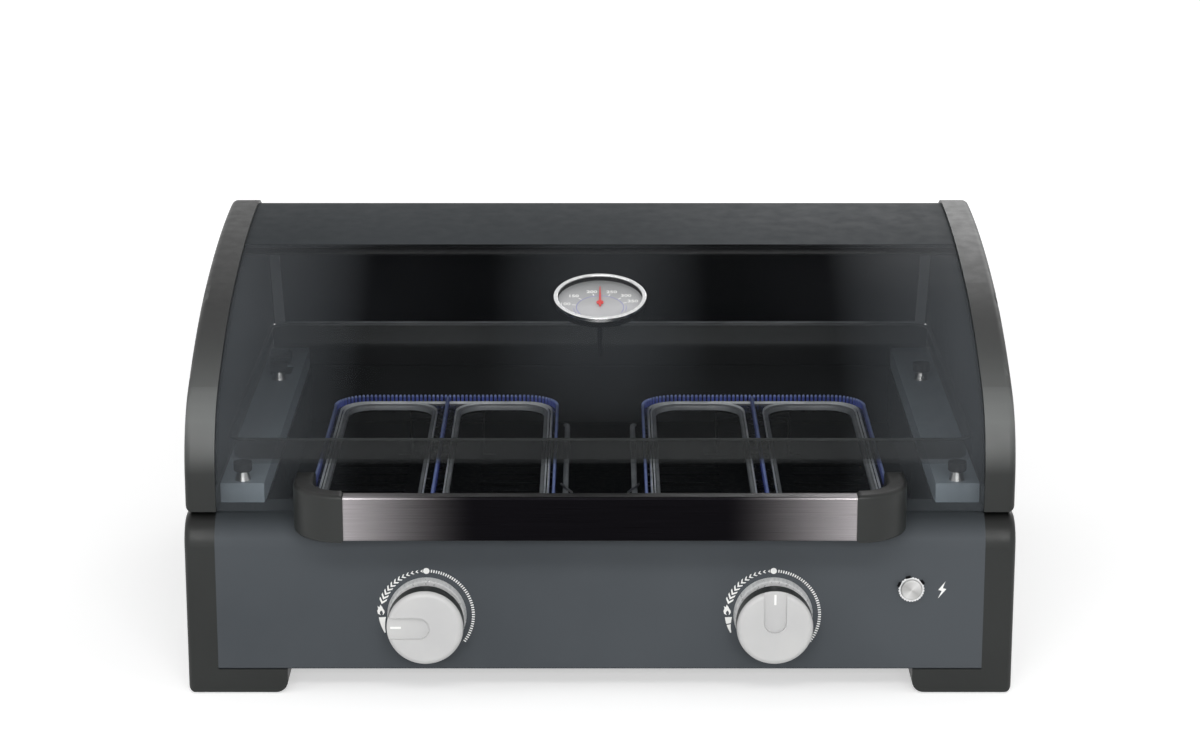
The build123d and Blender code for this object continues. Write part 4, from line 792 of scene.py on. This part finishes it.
def ring_loop(inset):
    """The burner's outline moved inwards, about its own middle."""
    points = rounded_loop(ring_half_x - inset, ring_half_y - inset, ring_corner - inset)
    return [(x, y + ring_middle_y) for x, y in points]


def window_loops():
    """Outlines of the left and of the right window, each moved inwards by an inset."""
    def loop_at(offset):
        def loop(inset):
            points = rounded_loop(window_half_x - inset, window_half_y - inset, window_corner - inset)
            return [(x + offset, y + ring_middle_y) for x, y in points]
        return loop
    return [loop_at(way * window_offset) for way in (-1, 1)]


def edges_of(mesh, ring):
    return [mesh.edges.get((ring[i], ring[(i + 1) % len(ring)])) for i in range(len(ring))]


def burner_body(mesh, mouth):
    rings = lofted(mesh, wall_section, ring_loop)
    deck = edges_of(mesh, rings[-1])
    foot = edges_of(mesh, rings[0])
    for loop in window_loops():
        rings = lofted(mesh, window_wall, loop)
        deck += edges_of(mesh, rings[0])
        foot += edges_of(mesh, rings[-1])
    bmesh.ops.triangle_fill(mesh, use_beauty=True, edges=deck)
    bmesh.ops.triangle_fill(mesh, use_beauty=True, edges=foot)
    revolved(mesh, [(mouth + y, radius) for y, radius in tube_profile], tube_height)
    for way in (-1, 1):
        slab(mesh, [(way * x, mouth + y) for x, y in lug_outline], lug_thickness,
             Matrix.Translation((0, 0, tube_height - lug_thickness / 2)))
    capped(mesh, [[mesh.verts.new((x, mouth + end, z)) for x, z in saddle] for end in saddle_ends])


def burner_beads(mesh):
    lofted(mesh, outer_bead, ring_loop)
    for loop in window_loops():
        lofted(mesh, window_bead, loop)


def burner_flanges(mesh, sign):
    for loop in window_loops():
        lofted(mesh, window_flange, loop)
    rod_x = -sign * rod_offset
    sweep(mesh, [(rod_x, rod_front)] + [(rod_x + sign * aside, y) for aside, y in rod_bends], rod_section)


def burner_rims(mesh):
    bend = ring_corner - rim_inset
    straight_x = ring_half_x - ring_corner
    straight_y = ring_half_y - ring_corner
    front_y = ring_middle_y - straight_y
    for way in (-1, 1):
        path = [(way * (straight_x + bend * math.cos(turn)), front_y - bend * math.sin(turn))
                for turn in rim_starts]
        path += [(way * (ring_half_x - rim_inset), y) for y in rim_stations]
        sweep(mesh, path, rim_section)
    sweep(mesh, [(0, y) for y in rib_stations], rib_section)
    sweep(mesh, [(0, y) for y in rib_tip_stations], rib_tip_section)
    places = []
    bend_steps = round(bend * math.pi / 2 / crimp_pitch)
    for step in range(bend_steps + 1):
        turn = math.pi / 2 * step / bend_steps
        y = straight_y + ring_middle_y + bend * math.sin(turn)
        places += [(way * (straight_x + bend * math.cos(turn)), y) for way in (-1, 1)]
    back_y = ring_half_y + ring_middle_y - rim_inset
    back_steps = round(2 * straight_x / crimp_pitch)
    for step in range(1, back_steps):
        places.append((-straight_x + 2 * straight_x * step / back_steps, back_y))
    for x, y in places:
        pin(mesh, x, y, crimp_radius, crimp_foot, crimp_top)


def burner(side, sign):
    body, beads, flanges, rims = [bmesh.new() for _ in range(4)]
    burner_body(body, corners(f"burner_{side}")[0].y)
    burner_beads(beads)
    burner_flanges(flanges, sign)
    burner_rims(rims)
    place = Matrix.Translation((middle_of(f"burner_{side}").x, 0, 0))
    layers = (("body", body, finishes["cast_iron"], 28), ("beads", beads, bead_highlight, 60),
              ("flanges", flanges, flange, 60), ("rims", rims, flame_paint, 50))
    for name, mesh, finish, smooth in layers:
        made = piece(f"burner_{name}_{side}", mesh, finish, "base", smooth, place)
        if name == "body":
            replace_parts(made, f"burner_{side}")


for side, sign in sides:
    burner(side, sign)

# Knurled bezels behind the knobs

teeth = 60
tooth_depth = 0.5
# Stations from the bore round to the foot, as (radius, distance in front of the panel, whether toothed)
bezel_section = ((20.0, 0.0, 0), (20.0, 4.8, 0), (20.2, 5.0, 0), (27.8, 5.0, 0), (28.4, 4.6, 1),
                 (29.5, 1.2, 1), (29.7, 0.0, 0))


def knurled_bezels():
    mesh = bmesh.new()
    for side, _ in sides:
        middle = middle_of(f"knob_{side}")
        rings = []
        for radius, proud, toothed in bezel_section:
            ring = []
            for step, (across, up) in enumerate(circle(1.0, 2 * teeth)):
                reach = radius - tooth_depth * toothed * (step % 2)
                ring.append(mesh.verts.new((middle.x + reach * across, panel_front - proud,
                                            middle.z + reach * up)))
            rings.append(ring)
        skinned(mesh, rings + rings[:1])
    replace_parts(piece("knurled_bezels", mesh, knurled, "base", smooth=20), "knob_bezels")


knurled_bezels()

# Louvre lips of the rear panel

panel_back = corners("rear_panel")[1].y
louvre_columns = (-168.0, -84.0, 0.0, 84.0, 168.0)
louvre_rows = (100.0, 85.0, 70.0)
# The lip's section as (distance behind the panel, height above its slot), full size over the lip's middle
lip_top = 3.4
lip_section = ((0, lip_top), (1.5, 2.6), (2.5, 1.0), (2.8, -0.8), (2.2, -0.8), (1.9, 0.8), (1.1, 2.0),
               (0, 2.6))
lip_half = ((23.0, 1.0), (27.0, 0.92), (30.0, 0.6), (31.5, 0.1))
lip_stations = [(-x, share) for x, share in reversed(lip_half)] + list(lip_half)


def add_lip(mesh, column, row):
    """One lip over its slot. It shrinks towards its top edge at both ends."""
    top = row + lip_top
    rings = []
    for x, share in lip_stations:
        rings.append([mesh.verts.new((column + x, panel_back + back * share, top + (up - lip_top) * share))
                      for back, up in lip_section])
    capped(mesh, rings)


def louvre_lips():
    mesh = bmesh.new()
    for column in louvre_columns:
        for row in louvre_rows:
            add_lip(mesh, column, row)
    piece("louvre_lips", mesh, black_sheet, "base", smooth=50)


louvre_lips()

# Cross recesses in the screws at the back, as thin black slabs of painted shade

screw_reach = 18.0
recess_turn = 20
recess_outline = strip(1.5, -0.3, 0.3)
recess_thickness = 0.06


def screw_boxes():
    """The lowest and the highest corner of each of the screws, which share one node."""
    found = []
    for vertex in nodes["panel_screws"].data.vertices:
        spot = vertex.co / MM
        near = next((box for box in found if (box[0] - spot).length < screw_reach), None)
        if near is None:
            near = [spot, spot, spot]
            found.append(near)
        near[1] = Vector(map(min, near[1], spot))
        near[2] = Vector(map(max, near[2], spot))
    return [(low, high) for _, low, high in found]


def screw_recess_shadows():
    mesh = bmesh.new()
    for low, high in screw_boxes():
        middle = (low + high) / 2
        if high.z - low.z > high.y - low.y:
            head = Matrix.Translation((middle.x, middle.y, high.z))
        else:
            head = Matrix.Translation((middle.x, high.y, middle.z)) @ Matrix.Rotation(-math.pi / 2, 4, "X")
        for turn in (0, 90):
            slab(mesh, recess_outline, recess_thickness, head @ turned(-turn - recess_turn))
    piece("screw_recess_shadows", mesh, gauge_black, "base")


screw_recess_shadows()

# Rolled rim of the griddle plate

plate_corner = 16.0
plate_rim_width = 2.8
plate_rim_depth = 1.6
plate_rim_edge = 0.4


def plate_rim():
    low, high = corners("griddle_plate")
    half = (high - low) / 2
    middle_y = (high.y + low.y) / 2

    def loop(inset):
        points = rounded_loop(half.x - inset, half.y - inset, plate_corner - inset)
        return [(x, y + middle_y) for x, y in points]

    foot = high.z - plate_rim_depth
    shoulder = high.z - plate_rim_edge
    flat_end = plate_rim_width - plate_rim_edge
    section = ((0.0, foot), (0.0, shoulder), (plate_rim_edge, high.z), (flat_end, high.z),
               (plate_rim_width, shoulder), (plate_rim_width, foot))
    mesh = bmesh.new()
    rings = lofted(mesh, section, loop)
    skinned(mesh, [rings[-1], rings[0]])
    piece("plate_rim", mesh, rim_with_highlight, "plate")


plate_rim()

# Rolled hem of the hood's rear wall, and the corner tabs of the draught shield

hem_radius = 1.9
hem_half_length = 284.5
hem_inset = 2.0
hem_rise = 0.4
hem_steps = 14
tab_outline = ((274.0, 138.0), (284.6, 138.0), (284.6, 169.0), (281.6, 172.5), (274.0, 172.5))
tab_thickness = 0.9
tab_back = 222.6


def rear_wall_hem():
    low, high = corners("hood_rear_wall")
    mesh = bmesh.new()
    capped(mesh, [[mesh.verts.new((x, high.y - hem_inset + y, low.z + hem_rise + z))
                   for y, z in circle(hem_radius, hem_steps)] for x in (-hem_half_length, hem_half_length)])
    piece("rear_wall_hem", mesh, flange, "hood")


def shield_tabs():
    mesh = bmesh.new()
    for way in (-1, 1):
        slab(mesh, [(way * x, z) for x, z in tab_outline], tab_thickness, on_front(0, tab_back, 0))
    piece("shield_tabs", mesh, finishes["inner_steel"], "base")


rear_wall_hem()
shield_tabs()

# Thermometer's scale, whose middle lies below the dial's

dial_tilt = 15
dial_top = 0.4
dial_ink = 0.08
scale_middle = -9.8
scale_place = (Matrix.Translation(middle_of("thermometer_dial"))
               @ Matrix.Rotation(math.radians(dial_tilt), 4, "X")
               @ Matrix.Translation((0, scale_middle, dial_top)))
# Arcs as (radius, width, first angle, last angle, steps)
arcs = ((18.4, 0.5, -126, 118, 60), (20.6, 0.35, -126, -95, 12), (20.6, 0.35, 80, 108, 10))
dial_tick = strip(0.4, 19.2, 22.2)
tick_angles = (-128, -79, -49, -14.5, 20.5, 47.5, 69.0)
# Figures as (text, angle, radius)
figures = (("100", -79, 27.7), ("150", -49, 27.5), ("200", -14.5, 25.6), ("250", 20.5, 26.2),
           ("300", 47.5, 27.6), ("350", 69.0, 27.4))
figure_size = 5.6
figure_weight = 0.14
figure_depth = 0.05


def dial_arcs():
    mesh = bmesh.new()
    for radius, width, start, end, steps in arcs:
        edges = (radius + width / 2, radius - width / 2)
        slab(mesh, band(start, end, steps, lambda angle, edges=edges: edges), dial_ink)
    piece("dial_arcs", mesh, scale_ink, "hood", place=scale_place)


def add_figure(mesh, text, place):
    """Adds a number to a mesh, with its middle at a place."""
    curve = bpy.data.curves.new(f"label_{text}", "FONT")
    curve.body = text
    curve.size = figure_size
    curve.offset = figure_weight
    curve.align_x = "CENTER"
    curve.align_y = "CENTER"
    curve.extrude = figure_depth
    holder = bpy.data.objects.new(f"label_{text}", curve)
    bpy.context.scene.collection.objects.link(holder)
    count = len(mesh.verts)
    mesh.from_mesh(bpy.data.meshes.new_from_object(holder))
    bpy.data.objects.remove(holder)
    mesh.verts.ensure_lookup_table()
    bmesh.ops.transform(mesh, matrix=place, verts=mesh.verts[count:])


def dial_numbers():
    mesh = bmesh.new()
    for angle in tick_angles:
        slab(mesh, dial_tick, dial_ink, turned(angle))
    for text, angle, radius in figures:
        add_figure(mesh, text, Matrix.Translation((*polar(radius, angle), figure_depth)))
    piece("dial_numbers", mesh, print_ink, "hood", place=scale_place, outwards=False)


dial_arcs()
dial_numbers()

# Stage: a pale floor and a soft studio, in metres

floor_half = 9.0
floor_tone = 0.78
# The floor's own glow near the object and far from it, which keeps it white as the lamps fall off
glow_near = 0.5
glow_far = 0.72
glow_start = 0.9
glow_end = 3.0
world_light = 0.42
lamp_target = Vector((0, 0, 0.15))


def shown(tree):
    """1 for rays from the camera, off gloss or through glass, and 0 for the rest."""
    rays = tree.nodes.new("ShaderNodeLightPath")
    value = rays.outputs["Is Camera Ray"]
    for kind in ("Is Glossy Ray", "Is Transmission Ray"):
        either = tree.nodes.new("ShaderNodeMath")
        either.operation = "MAXIMUM"
        tree.links.new(value, either.inputs[0])
        tree.links.new(rays.outputs[kind], either.inputs[1])
        value = either.outputs[0]
    return value


def ranged(tree, value, **limits):
    made = tree.nodes.new("ShaderNodeMapRange")
    tree.links.new(value, made.inputs["Value"])
    for socket, limit in limits.items():
        made.inputs[socket.replace("_", " ")].default_value = limit
    return made.outputs["Result"]


def ground():
    """Matt and pale. It takes the object's shadow, and its glow shows only to the rays of shown()."""
    made = bpy.data.materials.new("ground")
    made.use_nodes = True
    tree = made.node_tree
    tree.nodes.clear()
    output = tree.nodes.new("ShaderNodeOutputMaterial")
    both = tree.nodes.new("ShaderNodeAddShader")
    matt = tree.nodes.new("ShaderNodeBsdfDiffuse")
    matt.inputs["Color"].default_value = (floor_tone, floor_tone, floor_tone, 1)
    glow = tree.nodes.new("ShaderNodeEmission")
    glow.inputs["Color"].default_value = (1, 1, 1, 1)
    spot = tree.nodes.new("ShaderNodeNewGeometry")
    reach = tree.nodes.new("ShaderNodeVectorMath")
    reach.operation = "LENGTH"
    amount = tree.nodes.new("ShaderNodeMath")
    amount.operation = "MULTIPLY"
    tree.links.new(spot.outputs["Position"], reach.inputs[0])
    tree.links.new(shown(tree), amount.inputs[0])
    tree.links.new(ranged(tree, reach.outputs["Value"], From_Min=glow_start, From_Max=glow_end,
                          To_Min=glow_near, To_Max=glow_far), amount.inputs[1])
    tree.links.new(amount.outputs[0], glow.inputs["Strength"])
    tree.links.new(matt.outputs[0], both.inputs[0])
    tree.links.new(glow.outputs[0], both.inputs[1])
    tree.links.new(both.outputs[0], output.inputs["Surface"])
    return made


def floor():
    mesh = bmesh.new()
    bmesh.ops.create_grid(mesh, x_segments=1, y_segments=1, size=floor_half)
    data = bpy.data.meshes.new("floor")
    mesh.to_mesh(data)
    mesh.free()
    data.materials.append(ground())
    made = bpy.data.objects.new("floor", data)
    bpy.context.scene.collection.objects.link(made)


def studio():
    """White to the rays of shown(), and a dimmer even light on everything."""
    world = bpy.data.worlds.new("studio")
    bpy.context.scene.world = world
    world.use_nodes = True
    tree = world.node_tree
    background = next(n for n in tree.nodes if n.type == "BACKGROUND")
    background.inputs["Color"].default_value = (1, 1, 1, 1)
    tree.links.new(ranged(tree, shown(tree), To_Min=world_light, To_Max=1.0), background.inputs["Strength"])


def lamp(name, place, width, height, power):
    """A soft rectangular lamp that points at the middle of the object."""
    data = bpy.data.lights.new(name, "AREA")
    data.shape = "RECTANGLE"
    data.size = width
    data.size_y = height
    data.energy = power
    made = bpy.data.objects.new(name, data)
    made.location = place
    made.rotation_euler = (lamp_target - Vector(place)).to_track_quat("-Z", "Y").to_euler()
    bpy.context.scene.collection.objects.link(made)


floor()
studio()
lamp("front", (0.0, -2.7, 2.2), width=2.4, height=0.5, power=24.0)
lamp("low", (0.0, -3.2, 1.2), width=2.4, height=0.5, power=40.0)
lamp("key", (-2.2, -1.6, 1.6), width=1.4, height=1.4, power=10.0)
lamp("fill", (2.3, -1.4, 1.3), width=1.4, height=1.4, power=6.0)
lamp("back", (1.0, 2.6, 1.5), width=1.8, height=1.2, power=16.0)

# Camera: a little above the object, aimed at a point over its front

pitch = math.radians(15.5)
distance = 2.4
aim_y = -0.185
aim_z = 0.2405
camera_data = bpy.data.cameras.new("camera")
camera_data.sensor_width = 36.0
camera_data.lens = 96.84
camera = bpy.data.objects.new("camera", camera_data)
camera.location = (0, aim_y - distance * math.cos(pitch), aim_z + distance * math.sin(pitch))
camera.rotation_euler = (math.pi / 2 - pitch, 0, 0)
bpy.context.scene.collection.objects.link(camera)
bpy.context.scene.camera = camera

bpy.context.scene.view_settings.view_transform = "Standard"
